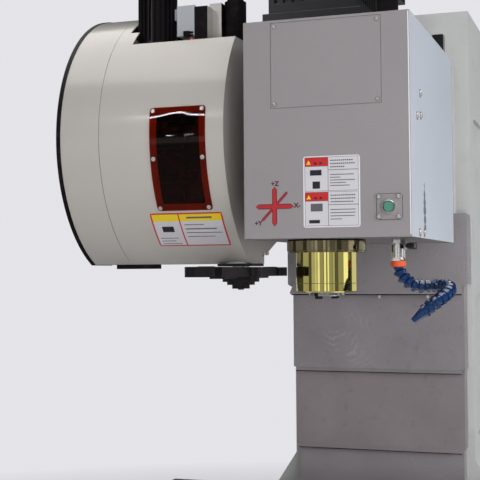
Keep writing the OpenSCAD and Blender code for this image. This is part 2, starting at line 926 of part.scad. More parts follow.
module motor_coupling() {
    color(dark_steel) {
        tube([0, 0], [shaft_top, shaft_top + 50], 96, drawbar_d + 30);
        difference() {
            post([0, 0], [shaft_top + 50 - eps, shaft_top + 74], 80);
            post([0, 0], [shaft_top + 48, shaft_top + 64], drawbar_d + 30);
        }
        post([0, 0], [shaft_top + 74 - eps, spindle_motor_z - 1], 48);
    }
}

module drawbar() {
    bottom = nose_z - shaft_out + taper_len + 6;
    color(steel) {
        post([0, 0], [bottom + 12, shaft_top + 34], drawbar_d);
        post([0, 0], [bottom, bottom + 12 + eps], drawbar_d - 5);
        post([0, 0], [shaft_top + 26, shaft_top + 40], drawbar_d + 12);
    }
}

// Finned motor on top of the head
module spindle_motor() {
    w = spindle_motor_w;
    color(dark_steel) {
        difference() {
            block([-w / 2 - 12, w / 2 + 12], [-w / 2 - 12, w / 2 + 12], [spindle_motor_z, spindle_motor_z + 24]);
            post([0, 0], [spindle_motor_z - eps, spindle_motor_z + 12], 60);
        }
        difference() {
            block([-w / 2, w / 2], [-w / 2, w / 2], [spindle_motor_z + 24 - eps, spindle_motor_z + spindle_motor_h]);
            for (i = [-4:4])
                mirrored_x()
                    translate([0, i * w / 10, 0])
                        block([w / 2 - 8, w / 2 + eps], [-w / 32, w / 32],
                            [spindle_motor_z + 50, spindle_motor_z + spindle_motor_h - 30]);
            for (i = [-4:4])
                mirrored_y()
                    translate([i * w / 10, 0, 0])
                        block([-w / 32, w / 32], [w / 2 - 8, w / 2 + eps],
                            [spindle_motor_z + 50, spindle_motor_z + spindle_motor_h - 30]);
        }
        tube([0, 0], [spindle_motor_z + spindle_motor_h - eps, spindle_motor_z + spindle_motor_h + 60],
            w * 0.92, w * 0.8);
        post([0, 0], [spindle_motor_z + spindle_motor_h - eps, spindle_motor_z + spindle_motor_h + 30], w * 0.3);
    }
}

module button_plate() {
    at = button_at();
    half = button_plate_w / 2;
    color(steel)
        difference() {
            union() {
                block([at[0] - half, at[0] + half], [-head_front - 3, -head_front], [at[1] - half, at[1] + half]);
                rod_y([-head_front - 9, -head_front - 3 + 0.01], at, button_d + 12);
            }
            rod_y([-head_front - 10, -head_front + 1], at, button_d + 0.6);
        }
}

module push_button() {
    color([0.30, 0.62, 0.52]) {
        rod_y([-head_front - 13, -head_front + 22], button_at(), button_d);
    }
}

module coolant_valve() {
    color(steel) {
        post([coolant_x, 0], [head_z - 16, head_z + 22], 22);
        translate([coolant_x, 0, head_z - 12])
            cylinder(h = 12, d = 34, $fn = 6);
        post([coolant_x, 0], [head_z - 46, head_z - 15], hose_d);
        rod_x([coolant_x, coolant_x + hose_d / 2 + 3], [0, lever_z], 18);
        translate([coolant_x, 0, head_z - 53])
            cylinder(h = 8, d = hose_d + 1, $fn = 6);
    }
}

lever_z = head_z - 18;
lever_x = coolant_x + hose_d / 2 + 3 + seat_fit;

module valve_lever() {
    color(steel)
        rod_x([lever_x, lever_x + 7], [0, lever_z], 10);
    color(black)
        difference() {
            union() {
                rod_x([lever_x + 6, lever_x + 25], [0, lever_z], 16);
                block([lever_x + 6, lever_x + 25], [-34, 0], [lever_z - 6, lever_z + 6]);
                rod_x([lever_x + 6, lever_x + 25], [-34, lever_z], 12);
            }
            rod_x([lever_x + 22, lever_x + 26], [0, lever_z], 7);
        }
}

collar_top = head_z - 53 - seat_fit;
collar_h = 15;
hose_top = collar_top - collar_h;

module hose_collar() {
    color([0.86, 0.34, 0.15])
        difference() {
            union() {
                post([coolant_x, 0], [hose_top + 2, collar_top], hose_d + 2);
                translate([coolant_x, 0, hose_top])
                    cylinder(h = 2.01, d1 = hose_d - 1, d2 = hose_d + 3);
            }
            translate([coolant_x, 0, hose_top])
                sphere(d = hose_ball + 2 * seat_fit);
        }
}

// Direction of the hose as [polar angle, azimuth] for each segment, counted from its top
function hose_dir(i) =
    i < 6 ? [160 - i * 15.3, 0] :
    [86 + (i - 6) * 4, -(i - 5) * 14];

// Unit vector of a direction
function unit(d) = [sin(d[0]) * cos(d[1]), sin(d[0]) * sin(d[1]), cos(d[0])];

// Ball centre of each segment, one after the other
function hose_point(i) = i == 0 ? [coolant_x, 0, hose_top] : hose_point(i - 1) + hose_pitch * unit(hose_dir(i - 1));

hose_count = 17;

// Ball and socket segment along +z: the ball's centre is at 0, the socket's at hose_pitch
module hose_segment() {
    difference() {
        union() {
            intersection() {
                sphere(d = hose_ball);
                translate([0, 0, -hose_ball * 0.38])
                    cylinder(h = hose_ball, d = hose_ball + 2);
            }
            translate([0, 0, hose_pitch * 0.42])
                cylinder(h = hose_pitch * 0.3, d1 = hose_ball - 4, d2 = hose_d);
            translate([0, 0, hose_pitch * 0.72 - 0.01])
                cylinder(h = hose_pitch * 0.46, d1 = hose_d, d2 = hose_d - 4);
        }
        translate([0, 0, hose_pitch])
            sphere(d = hose_ball + 2 * seat_fit);
        translate([0, 0, -hose_ball])
            cylinder(h = hose_ball + hose_pitch, d = hose_ball * 0.46);
    }
}

module hose_nozzle() {
    difference() {
        union() {
            intersection() {
                sphere(d = hose_ball);
                translate([0, 0, -hose_ball * 0.38])
                    cylinder(h = hose_ball, d = hose_ball + 2);
            }
            translate([0, 0, hose_pitch * 0.42])
                cylinder(h = 8, d = hose_d - 2);
            translate([0, 0, hose_pitch * 0.42 + 7.9])
                cylinder(h = 34, d1 = hose_d - 8, d2 = 13);
        }
        translate([0, 0, -hose_ball])
            cylinder(h = hose_ball + 60, d = 8);
    }
}

module coolant_hose() {
    color([0.12, 0.28, 0.48])
        for (i = [0:hose_count])
            translate(hose_point(i))
                rotate([0, hose_dir(i)[0], hose_dir(i)[1]])
                    if (i < hose_count)
                        hose_segment();
                    else
                        hose_nozzle();
}

// Outline of the magazine cover in y and z, at the distance inset inside its outer face
module drum_outline(inset) {
    difference() {
        translate([drum_y, drum_zc])
            circle(r = drum_r - inset, $fn = 96);
        translate([drum_y - 2 * drum_r, drum_base - 2 * drum_r + inset])
            square([4 * drum_r, 2 * drum_r]);
        polygon([[214 - inset, drum_base - 20], [214 - inset, nose_z + 96 + inset], [224, nose_z + 96 + inset],
            [316, nose_z + 130 + inset], [700, nose_z + 258 + inset], [700, drum_base - 20]]);
    }
}

// Sheet shell of the tool magazine, open below at the change station and above behind the notch
module magazine_cover() {
    color(beige)
        difference() {
            along_x([-drum_left, -drum_right])
                drum_outline(0);
            along_x([-drum_left + drum_wall + 6, -drum_right - drum_wall])
                drum_outline(drum_wall);
            along_x([-drum_left - eps, -drum_left + 6])
                drum_outline(drum_wall);
            block([-side_step_x, -drum_right + eps], [side_step_y, drum_y + drum_r + eps],
                [drum_base - eps, drum_zc + drum_r]);
            block([-notch_left, -drum_right + eps], [-notch_front, side_step_y + drum_r], [notch_z, drum_zc + drum_r + eps]);
            block([-arm_motor_x - arm_motor_w / 2 - 5, -notch_left + eps],
                [arm_motor_y - arm_motor_w / 2 - 20, drum_y], [notch_z + 41, drum_zc + drum_r + eps]);
            block([-notch_left, -side_step_x + 20], [side_step_y - 60, drum_y + drum_r + eps],
                [drum_zc - 170, notch_z + eps]);
            translate([-(drum_right + 47 + pane_w) + pane_margin, 0, pane_low() + pane_margin])
                rotate([90, 0, 0])
                    linear_extrude(height = drum_r)
                        round_rect(pane_w - 2 * pane_margin, pane_h - 2 * pane_margin, 6);
            block([-change_x - 60, pot_front + 20], [214, drum_y + 61], [drum_base - eps, nose_z + 200]);
            post([-arm_x, arm_y], [drum_base - eps, drum_base + drum_wall + eps], 96);
            rod_x([-drum_right - drum_wall - eps, -drum_right + eps], [205, nose_z + 98], 14);
        }
}

// Height of the window pane's lower edge
function pane_low() = drum_zc - 196;

module cover_trim() {
    color(black) {
        difference() {
            along_x([-drum_left, -drum_left + band_w])
                difference() {
                    drum_outline(-1.6);
                    drum_outline(-0.05);
                }
            block([-drum_left - eps, -drum_left + band_w + eps], [200, 600], [drum_base - 40, nose_z + 330]);
        }
        block([-change_x - 78, -change_x + 44], [100, 125], [drum_base - 12, drum_base - 0.05]);
    }
}

module window_pane() {
    color([0.45, 0.16, 0.05, 0.8])
        intersection() {
            along_x([-drum_left, -drum_right])
                difference() {
                    translate([drum_y, drum_zc])
                        circle(r = drum_r + 3.05, $fn = 96);
                    translate([drum_y, drum_zc])
                        circle(r = drum_r + 0.05, $fn = 96);
                }
            translate([-(drum_right + 47 + pane_w), drum_y, pane_low()])
                rotate([90, 0, 0])
                    linear_extrude(height = drum_r + 20)
                        round_rect(pane_w, pane_h, 8);
        }
}

// Welded bracket that carries the magazine on the column's left side
module magazine_bracket() {
    back = column_front + 360;
    color(casting_grey)
        difference() {
            union() {
                along_x([-bracket_left, -bracket_right])
                    polygon([[cam_back + 1, drum_zc - 150], [520, drum_zc - 150], [back, drum_zc - 60],
                        [back, drum_zc + 150], [cam_back + 1, drum_zc + 150]]);
                block([-bracket_right - eps, -column_half], [column_front + 20, back], [drum_zc - 50, drum_zc + 150]);
                block([-bracket_left, -cam_right], [cam_back, cam_back + 14], [drum_zc - 150, drum_zc + 150]);
            }
            for (y = [column_front + 60, back - 40])
                for (z = [drum_zc - 10, drum_zc + 110])
                    rod_x([-bracket_left - eps, -bracket_left + 14], [y, z], 26);
        }
}

// Cast housing of the arm drive, with the motor's shelf on top and the black flange under the cover
module cam_box() {
    color(casting_grey)
        difference() {
            union() {
                along_x([-cam_left, -cam_right])
                    polygon([[cam_front, cam_toe_z], [cam_toe_y, cam_base], [cam_back, cam_base],
                        [cam_back, cam_top], [cam_front, cam_top]]);
                block([-arm_motor_x - arm_motor_w / 2, -cam_left + eps],
                    [arm_motor_y - arm_motor_w / 2, arm_motor_y + 26], [cam_top - shelf_t, cam_top]);
                block([-cam_left - 10, -cam_left + 24], [cam_front + 38, cam_front + 88],
                    [cam_top - eps, cam_top + 126]);
                post([-arm_x, arm_y], [drum_base - seat_fit, drum_base + drum_wall + eps], 90);
            }
            post([-arm_x, arm_y], [drum_base - 10, drum_base + 90], sleeve_d + 2 * run_fit);
            post([-arm_x, arm_y], [drum_base + 89, drum_base + 300], arm_shaft_d + 4);
        }
    color(black) {
        difference() {
            block([-arm_x - 47, -arm_x + 47], [arm_y - 52, arm_y + 52], [drum_base - 7, drum_base - seat_fit + 0.01]);
            post([-arm_x, arm_y], [drum_base - 10, drum_base], sleeve_d + 2 * run_fit);
        }
        post([-arm_x - 9, arm_y - 4], [cam_top - eps, cam_top + 130], 58);
        post([-arm_x - 9, arm_y - 4], [cam_top + 128, cam_top + 146], 44);
        block([-cam_left - 37, -cam_left - 1], [cam_front - 2, cam_front + 36], [cam_top - eps, cam_top + 112]);
    }
}

module arm_motor() {
    w = arm_motor_w;
    h = 300;
    color(black) {
        translate([-arm_motor_x, arm_motor_y, arm_motor_z]) {
            translate([0, 0, 9])
                cube([w, w, 18], center = true);
            difference() {
                translate([0, 0, 17])
                    cylinder(h = h, d = w);
                for (a = [0:15:345])
                    rotate([0, 0, a])
                        translate([w / 2 - 7, -3, 24])
                            cube([12, 6, h - 44]);
            }
            translate([0, 0, h + 16])
                cylinder(h = 55, d = w * 0.94);
        }
    }
}

module magazine_motor() {
    color(black) {
        rod_x([-480, -bracket_left], [drum_y, drum_zc], 130);
        rod_x([-500, -479], [drum_y, drum_zc], 100);
    }
    color(steel)
        rod_x([-disc_x - 30, -499], [drum_y, drum_zc], 60);
}

module junction_box() {
    side = -arm_motor_x + arm_motor_w / 2 + seat_fit;
    low = arm_motor_z + shelf_t + 23;
    color(side_grey) {
        block([side + 13, side + 62], [arm_motor_y - 25, arm_motor_y + 55], [low, low + 82]);
        block([side, side + 13 + eps], [arm_motor_y - 9, arm_motor_y + 9], [low + 48, low + 78]);
    }
    color(black) {
        block([side + 34, side + 50], [arm_motor_y - 33, arm_motor_y - 25 + eps], [low - 4, low + 12]);
        for (z = [low, low + 8])
            rod_x([side + 49, side + 60], [arm_motor_y - 29, z], 6);
    }
}

module magazine_disc() {
    color([0.22, 0.19, 0.30])
        difference() {
            union() {
                rod_x([-disc_x - 20, -disc_x + 20], [drum_y, drum_zc], 2 * hub_ring_out);
                difference() {
                    rod_x([-disc_x, pot_pin_x + 10], [drum_y, drum_zc], 2 * hub_ring_out);
                    rod_x([-disc_x + 20 - eps, pot_pin_x + 11], [drum_y, drum_zc], 2 * hub_ring_in);
                }
                for (i = [0:pot_count - 1])
                    at_pot(i)
                        pot_ears();
            }
            rod_x([-disc_x - 21, -disc_x + 21], [drum_y, drum_zc], 60 + 2 * run_fit);
        }
}

// Carries a piece round the magazine's axis to station i; station 0 is the change station at the bottom
module at_pot(i) {
    translate([0, drum_y, drum_zc])
        rotate([i * 360 / pot_count, 0, 0])
            children();
}

// The two ears that hold one pot's hinge pin, with the pin, at station 0 below the axis
module pot_ears() {
    for (y = [-19, 11])
        difference() {
            union() {
                block([pot_pin_x - 10, pot_pin_x + 10], [y, y + 8], [-pot_pin_r, -hub_ring_out + 4]);
                rod_y([y, y + 8], [pot_pin_x, -pot_pin_r], 20);
            }
        }
    rod_y([-12, 12], [pot_pin_x, -pot_pin_r], 8);
}

// One tool pot at station 0, with the lug that turns on the pin
module pot() {
    difference() {
        union() {
            rod_x([pot_back, pot_front - 14], [0, -pot_ring_r], pot_d - 6);
            rod_x([pot_front - 15, pot_front], [0, -pot_ring_r], pot_d);
            block([pot_pin_x - 10, pot_pin_x + 10], [-10, 10], [-pot_ring_r + 20, -pot_pin_r]);
            rod_y([-10, 10], [pot_pin_x, -pot_pin_r], 20);
        }
        translate([pot_front + 0.01, 0, -pot_ring_r])
            rotate([0, -90, 0])
                cylinder(h = taper_len, d1 = taper_d, d2 = taper_d - taper_len * 7 / 24);
        rod_x([pot_back - eps, pot_front], [0, -pot_ring_r], 20);
        rod_y([-11, 11], [pot_pin_x, -pot_pin_r], 8 + 2 * run_fit);
    }
}

module tool_pots() {
    color(black)
        for (i = [1:pot_count - 1])
            at_pot(i)
                pot();
}

module change_pot() {
    color(black)
        at_pot(0)
            pot();
}

module drive_sleeve() {
    color(steel)
        tube([-arm_x, arm_y], [drum_base, drum_base + 88], sleeve_d, arm_shaft_d + 2 * run_fit);
}

arm_low = nose_z + arm_z;

module arm_shaft() {
    color(steel)
        post([-arm_x, arm_y], [arm_low + arm_t, drum_base + 88 + arm_stroke + 30], arm_shaft_d);
}

// Plan of one half of the change arm, along +x from its middle
module arm_half() {
    outer = grip_r + 19;
    difference() {
        union() {
            polygon([[0, -38], [arm_r - 40, -30], [arm_r - 40, 30], [0, 38]]);
            translate([arm_r, 0])
                circle(r = outer);
            translate([arm_r - outer, -outer + 10])
                square([40, outer]);
        }
        translate([arm_r, 0])
            circle(r = grip_r);
        translate([arm_r - grip_r, 0])
            square([2 * grip_r, 2 * outer]);
    }
}

module change_arm() {
    color(black)
        translate([-arm_x, arm_y, 0])
            rotate([0, 0, arm_angle]) {
                translate([0, 0, arm_low])
                    linear_extrude(height = arm_t) {
                        arm_half();
                        rotate(180)
                            arm_half();
                        circle(r = 55);
                    }
                for (a = [0, 180])
                    rotate([0, 0, a]) {
                        block([90, 200], [-20, 20], [arm_low - 5, arm_low + eps]);
                        block([arm_r - 62, arm_r - 30], [-26, 8], [arm_low + arm_t - eps, arm_low + arm_t + 1.5]);
                    }
                translate([0, 0, nose_z + 25])
                    cylinder(h = arm_z - 25 + eps, d = 98);
                translate([0, 0, nose_z + 17])
                    cylinder(h = 8 + eps, d = 74);
                translate([0, 0, nose_z + 7])
                    cylinder(h = 10 + eps, d = 47);
                translate([0, 0, nose_z + 4])
                    cylinder(h = 3 + eps, d = 17, $fn = 6);
            }
}

module cabinet() {
    h = cabinet_half;
    color(side_grey) {
        difference() {
            block([-h, h], [cabinet_y, cabinet_back - seat_fit], [cabinet_z, cabinet_z + cabinet_h]);
            block([-h + sheet, h - sheet], [cabinet_y + sheet, cabinet_back + eps],
                [cabinet_z + sheet, cabinet_z + cabinet_h - sheet]);
            block([h - 3 * sheet, h + eps], [cabinet_y + 80, cabinet_y + 260], [cabinet_z + 60, cabinet_z + 64]);
        }
        for (z = [cabinet_z + 200, cabinet_z + cabinet_h - 240])
            mirrored_x()
                block([100, 150], [column_front + column_depth, cabinet_y + eps], [z, z + 60]);
        for (z = hinge_z()) {
            block([-h - hinge_out, -h + eps], [hinge_y() - 28, hinge_y() + 6], [z, z + hinge_h]);
            post([hinge_x(), hinge_y()], [z, z + hinge_h], hinge_d);
            post([hinge_x(), hinge_y()], [z + hinge_h - eps, z + 2 * hinge_h + 4], hinge_pin);
        }
    }
}

// Heights of the two door hinges
function hinge_z() = [cabinet_z + 160, cabinet_z + cabinet_h - 260];

function hinge_x() = -cabinet_half - hinge_out;

function hinge_y() = cabinet_back - 12;

module control_modules() {
    y = cabinet_y + sheet;
    w = 2 * cabinet_half - 60;
    color(steel)
        block([-w / 2, w / 2], [y, y + 3], [cabinet_z + 30, cabinet_z + cabinet_h - 30]);
    color(dark_steel)
        for (i = [0:3])
            block([-w / 2 + 30 + i * (w - 60) / 4, -w / 2 + 10 + (i + 1) * (w - 60) / 4],
                [y + 2, y + 160], [cabinet_z + cabinet_h - 470, cabinet_z + cabinet_h - 110]);
    color([0.75, 0.76, 0.74]) {
        for (i = [0:7])
            block([-w / 2 + 30 + i * (w - 60) / 8, -w / 2 + 22 + (i + 1) * (w - 60) / 8],
                [y + 2, y + 80], [cabinet_z + 640, cabinet_z + 740]);
        block([-w / 2 + 30, w / 2 - 30], [y + 2, y + 50], [cabinet_z + 520, cabinet_z + 570]);
    }
    color(dark_steel)
        block([-120, 160], [y + 2, y + 150], [cabinet_z + 90, cabinet_z + 300]);
}

module cabinet_door() {
    h = cabinet_half;
    color(side_grey) {
        difference() {
            block([-h + 3, h], [cabinet_back, door_back], [cabinet_z, cabinet_z + cabinet_h]);
            block([-h + 3 + sheet, h - sheet], [cabinet_back - eps, door_back - sheet],
                [cabinet_z + sheet, cabinet_z + cabinet_h - sheet]);
            rod_y([door_back - 3, door_back + eps], handle_at(), 20);
        }
        for (z = hinge_z()) {
            tube([hinge_x(), hinge_y()], [z + hinge_h + 1, z + 2 * hinge_h + 1], hinge_d, hinge_pin + 2 * run_fit);
            difference() {
                block([hinge_x(), -h + 4], [hinge_y(), door_back], [z + hinge_h + 1, z + 2 * hinge_h + 1]);
                post([hinge_x(), hinge_y()], [z + hinge_h, z + 2 * hinge_h + 2], hinge_d - 4);
                block([-h - 0.5, -h + 5], [hinge_y() - 1, cabinet_back - 0.01], [z + hinge_h, z + 2 * hinge_h + 2]);
            }
        }
    }
}

// Place of the door handle's middle in x and z
function handle_at() = [cabinet_half - 45, cabinet_z + cabinet_h / 2];

module door_handle() {
    at = handle_at();
    color(black) {
        rod_y([door_back - 12, door_back + 8], at, 20 - 2 * seat_fit);
        rod_y([door_back + seat_fit, door_back + 8], at, 44);
        block([at[0] - 11, at[0] + 11], [door_back + 7, door_back + handle_out], [at[1] - 90, at[1] + 14]);
    }
}

// Upper stage: its skirt ends in clipped corners and its flared drip lip folds out before the skirt
module z_cover_1() {
    high = carriage_bottom - seat_fit;
    skirt = stage_low + skirt_up;
    fold = stage_low + fold_up;
    length = sqrt(flare * flare + fold_up * fold_up);
    color(painted_grey) {
        difference() {
            block([-stage_half, stage_half], [stage_plane, stage_side], [skirt, high]);
            block([-stage_half + sheet, stage_half - sheet], [stage_plane + sheet, stage_side + eps],
                [skirt - eps, high - sheet]);
            block([-stage_half - eps, stage_half + eps], [carriage_back - 8, stage_side + eps],
                [high - sheet - eps, high + eps]);
            mirrored_x()
                along_y([stage_plane - eps, stage_side + eps])
                    polygon([[stage_half + eps, skirt - eps], [stage_half + eps, skirt + 7],
                        [stage_half - 13, skirt - eps]]);
        }
        translate([0, stage_plane + sheet, fold])
            rotate([90 - atan2(flare, fold_up), 0, 0])
                linear_extrude(height = sheet)
                    polygon([[-stage_half + 22, 0], [stage_half - 22, 0], [stage_half - 11, -length],
                        [-stage_half + 11, -length]]);
        block([-stage_half + 13, stage_half - 13], [stage_plane - flare + 1, stage_plane - flare + 12],
            [stage_low - sheet, stage_low + 1]);
    }
}

module z_cover_2() {
    low = stage_low - stage_show;
    high = low + stage_show + stage_lap;
    way_stage(stage_half - stage_step, stage_plane + stage_gap, low, high, stage_side);
    stage_glide(stage_half - stage_step, stage_plane + stage_gap, high);
}

module z_cover_3() {
    low = stage_low - 2 * stage_show;
    high = low + stage_show + stage_lap;
    way_stage(stage_half - stage_step - stage_nest, stage_plane + 2 * stage_gap, low, high, stage_side);
    stage_glide(stage_half - stage_step - stage_nest, stage_plane + 2 * stage_gap, high);
}

module z_screw() {
    color(steel)
        post([0, z_screw_y], [z_rail_low - 29, column_z + 55], screw_d);
}

on_floor() base_casting();
on_floor() levelling_feet();
on_floor() linear_rails();
on_floor() column();
on_floor() axis_motors();
on_floor() fixed_covers();
on_floor() magazine_bracket();
on_floor() magazine_cover();
on_floor() cover_trim();
on_floor() window_pane();
on_floor() cam_box();
on_floor() arm_motor();
on_floor() magazine_motor();
on_floor() junction_box();
on_floor() cabinet();
on_floor() control_modules();
on_floor() saddle();
on_floor() saddle_blocks();
on_floor() x_rails();
on_floor() x_motor();
on_floor() saddle_covers();
on_floor() y_cover_mid();
on_floor() y_screw();
on_floor() table();
on_floor() table_blocks();
on_floor() table_covers();
on_floor() x_cover_mid();
on_floor() x_screw();
on_floor() head_casting();
on_floor() head_blocks();
on_floor() head_cover();
on_floor() access_panel();
on_floor() spindle_flange();
on_floor() spindle_housing();
on_floor() nose_cap();
on_floor() spindle_motor();
on_floor() button_plate();
on_floor() coolant_valve();
on_floor() z_cover_1();
on_floor() z_cover_2();
on_floor() z_cover_3();
on_floor() z_screw();
on_floor() spindle_shaft();
on_floor() drive_keys();
on_floor() motor_coupling();
on_floor() drawbar();
on_floor() push_button();
on_floor() valve_lever();
on_floor() hose_collar();
on_floor() coolant_hose();
on_floor() magazine_disc();
on_floor() tool_pots();
on_floor() change_pot();
on_floor() drive_sleeve();
on_floor() arm_shaft();
on_floor() change_arm();
on_floor() cabinet_door();
on_floor() door_handle();
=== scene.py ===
"""Looks of a vertical machining centre: finishes, fasteners, plates, studio and camera."""

import json
import logging
import math
from dataclasses import dataclass, field
from enum import Enum
from typing import Any, Callable, Iterable, Iterator, Sequence

import bmesh
import bpy
from mathutils import Matrix, Vector

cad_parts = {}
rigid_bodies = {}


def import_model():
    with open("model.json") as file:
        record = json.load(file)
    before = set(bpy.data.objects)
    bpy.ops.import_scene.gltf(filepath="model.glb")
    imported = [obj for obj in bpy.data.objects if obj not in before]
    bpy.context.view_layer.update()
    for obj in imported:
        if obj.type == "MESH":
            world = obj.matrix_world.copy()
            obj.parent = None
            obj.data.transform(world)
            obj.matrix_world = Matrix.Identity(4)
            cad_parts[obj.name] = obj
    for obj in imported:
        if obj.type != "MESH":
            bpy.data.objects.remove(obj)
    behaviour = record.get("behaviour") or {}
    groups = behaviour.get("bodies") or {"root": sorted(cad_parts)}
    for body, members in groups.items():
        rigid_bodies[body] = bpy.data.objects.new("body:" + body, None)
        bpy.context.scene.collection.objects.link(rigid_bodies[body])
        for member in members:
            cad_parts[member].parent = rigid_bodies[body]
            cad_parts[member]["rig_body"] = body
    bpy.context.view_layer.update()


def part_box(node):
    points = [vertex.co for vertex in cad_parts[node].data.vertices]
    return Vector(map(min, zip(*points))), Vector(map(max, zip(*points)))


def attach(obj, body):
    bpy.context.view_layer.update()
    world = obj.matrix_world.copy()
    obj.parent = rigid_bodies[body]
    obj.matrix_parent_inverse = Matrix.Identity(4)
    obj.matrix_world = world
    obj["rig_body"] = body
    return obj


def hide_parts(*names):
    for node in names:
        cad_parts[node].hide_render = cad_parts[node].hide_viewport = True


Colour = tuple[float, float, float]
Point = tuple[float, float, float]
Outline = Sequence[tuple[float, float]]
Number = float | int

LOG = logging.getLogger("machine")
MM = 0.001
WELD = 0.01 * MM
FULL_TURN = 2 * math.pi


def srgb(red: Number, green: Number, blue: Number) -> Colour:
    """Turn a colour as a screen shows it into the linear values that shaders take.

    Args:
        red: Red from 0 to 255.
        green: Green from 0 to 255.
        blue: Blue from 0 to 255.

    Returns:
        The three linear channels.
    """

    def channel(value: Number) -> float:
        """Linear value of one channel."""
        part = value / 255
        return part / 12.92 if part <= 0.04045 else ((part + 0.055) / 1.055) ** 2.4

    return channel(red), channel(green), channel(blue)


def shaded(colour: Colour, factor: float) -> Colour:
    """A colour made darker or paler by a factor, held at white."""
    return tuple(min(1, channel * factor) for channel in colour)


class Axis(Enum):
    """Ways that a screw's head can stand."""

    RIGHT = Vector((1, 0, 0))
    FRONT = Vector((0, -1, 0))
    DOWN = Vector((0, 0, -1))


class Wire:
    """A shader socket that can be added, multiplied and compared like a number."""

    def __init__(self, nodes: "Nodes", socket: bpy.types.NodeSocket) -> None:
        """Wrap one output socket of a node tree."""
        self.nodes = nodes
        self.socket = socket

    def _math(self, operation: str, *values: "Wire | Number") -> "Wire":
        """Math node with this operation on the values."""
        return self.nodes.add("ShaderNodeMath", {"operation": operation}, dict(enumerate(values)))

    def __add__(self, other: "Wire | Number") -> "Wire":
        """Sum."""
        return self._math("ADD", self, other)

    def __radd__(self, other: Number) -> "Wire":
        """Sum with a number on the left."""
        return self._math("ADD", other, self)

    def __sub__(self, other: "Wire | Number") -> "Wire":
        """Difference."""
        return self._math("SUBTRACT", self, other)

    def __rsub__(self, other: Number) -> "Wire":
        """Difference from a number on the left."""
        return self._math("SUBTRACT", other, self)

    def __mul__(self, other: "Wire | Number") -> "Wire":
        """Product."""
        return self._math("MULTIPLY", self, other)

    def __rmul__(self, other: Number) -> "Wire":
        """Product with a number on the left."""
        return self._math("MULTIPLY", other, self)

    def __gt__(self, other: Number) -> "Wire":
        """1 where this is greater, else 0."""
        return self._math("GREATER_THAN", self, other)

    def clamped(self) -> "Wire":
        """The value held between 0 and 1."""
        return self._math("MINIMUM", self._math("MAXIMUM", self, 0.0), 1.0)

    def rising(self, start: Number, slope: Number) -> "Wire":
        """0 up to a start, then rising by a slope to 1."""
        return ((self - start) * slope).clamped()


class Nodes:
    """A tree of shader nodes with one output."""

    def __init__(self, tree: bpy.types.NodeTree, output: str) -> None:
        """Empty a tree and give it its output.

        Args:
            tree: The tree.
            output: Type name of the output node.
        """
        self.tree = tree
        self.tree.nodes.clear()
        self.output = self.tree.nodes.new(output)

    def add(
        self, kind: str, settings: dict[str, Any], inputs: dict[str | int, Any], out: str | int = 0
    ) -> Wire:
        """Add any node.

        Args:
            kind: Type name of the node.
            settings: Properties of the node, set before its sockets; "stops" are a ramp's stops.
            inputs: Values, or wires to link, by the name or number of the socket.
            out: Name or number of the output wanted.

        Returns:
            The wire of that output.
        """
        node = self.tree.nodes.new(kind)
        for name, value in settings.items():
            if name == "stops":
                self._stops(node.color_ramp, value)
            else:
                setattr(node, name, value)
        for name, value in inputs.items():
            self.feed(node.inputs[name], value)
        return Wire(self, node.outputs[out])

    @staticmethod
    def _stops(ramp: bpy.types.ColorRamp, stops: Sequence[tuple[float, float]]) -> None:
        """Give a ramp steps of even grey.

        Args:
            ramp: The ramp.
            stops: Where each step begins and its grey.
        """
        ramp.interpolation = "CONSTANT"
        while len(ramp.elements) < len(stops):
            ramp.elements.new(0.5)
        for element, (place, grey) in zip(ramp.elements, stops):
            element.position = place
            element.color = (grey, grey, grey, 1)

    def feed(self, socket: bpy.types.NodeSocket, value: Any) -> None:
        """Link a wire to a socket, or set the socket's own value.

        Args:
            socket: The input socket.
            value: A wire, a number, a vector or a colour.
        """
        if isinstance(value, Wire):
            self.tree.links.new(value.socket, socket)
        elif isinstance(value, tuple) and socket.type == "RGBA":
            socket.default_value = (*value, 1)
        else:
            socket.default_value = value

    def blend(self, factor: Wire, low: Wire, high: Wire) -> Wire:
        """Mix two shaders by a factor."""
        return self.add("ShaderNodeMixShader", {}, {0: factor, 1: low, 2: high})

    def show(self, surface: Wire) -> None:
        """Link a shader to the output."""
        self.feed(self.output.inputs["Surface"], surface)


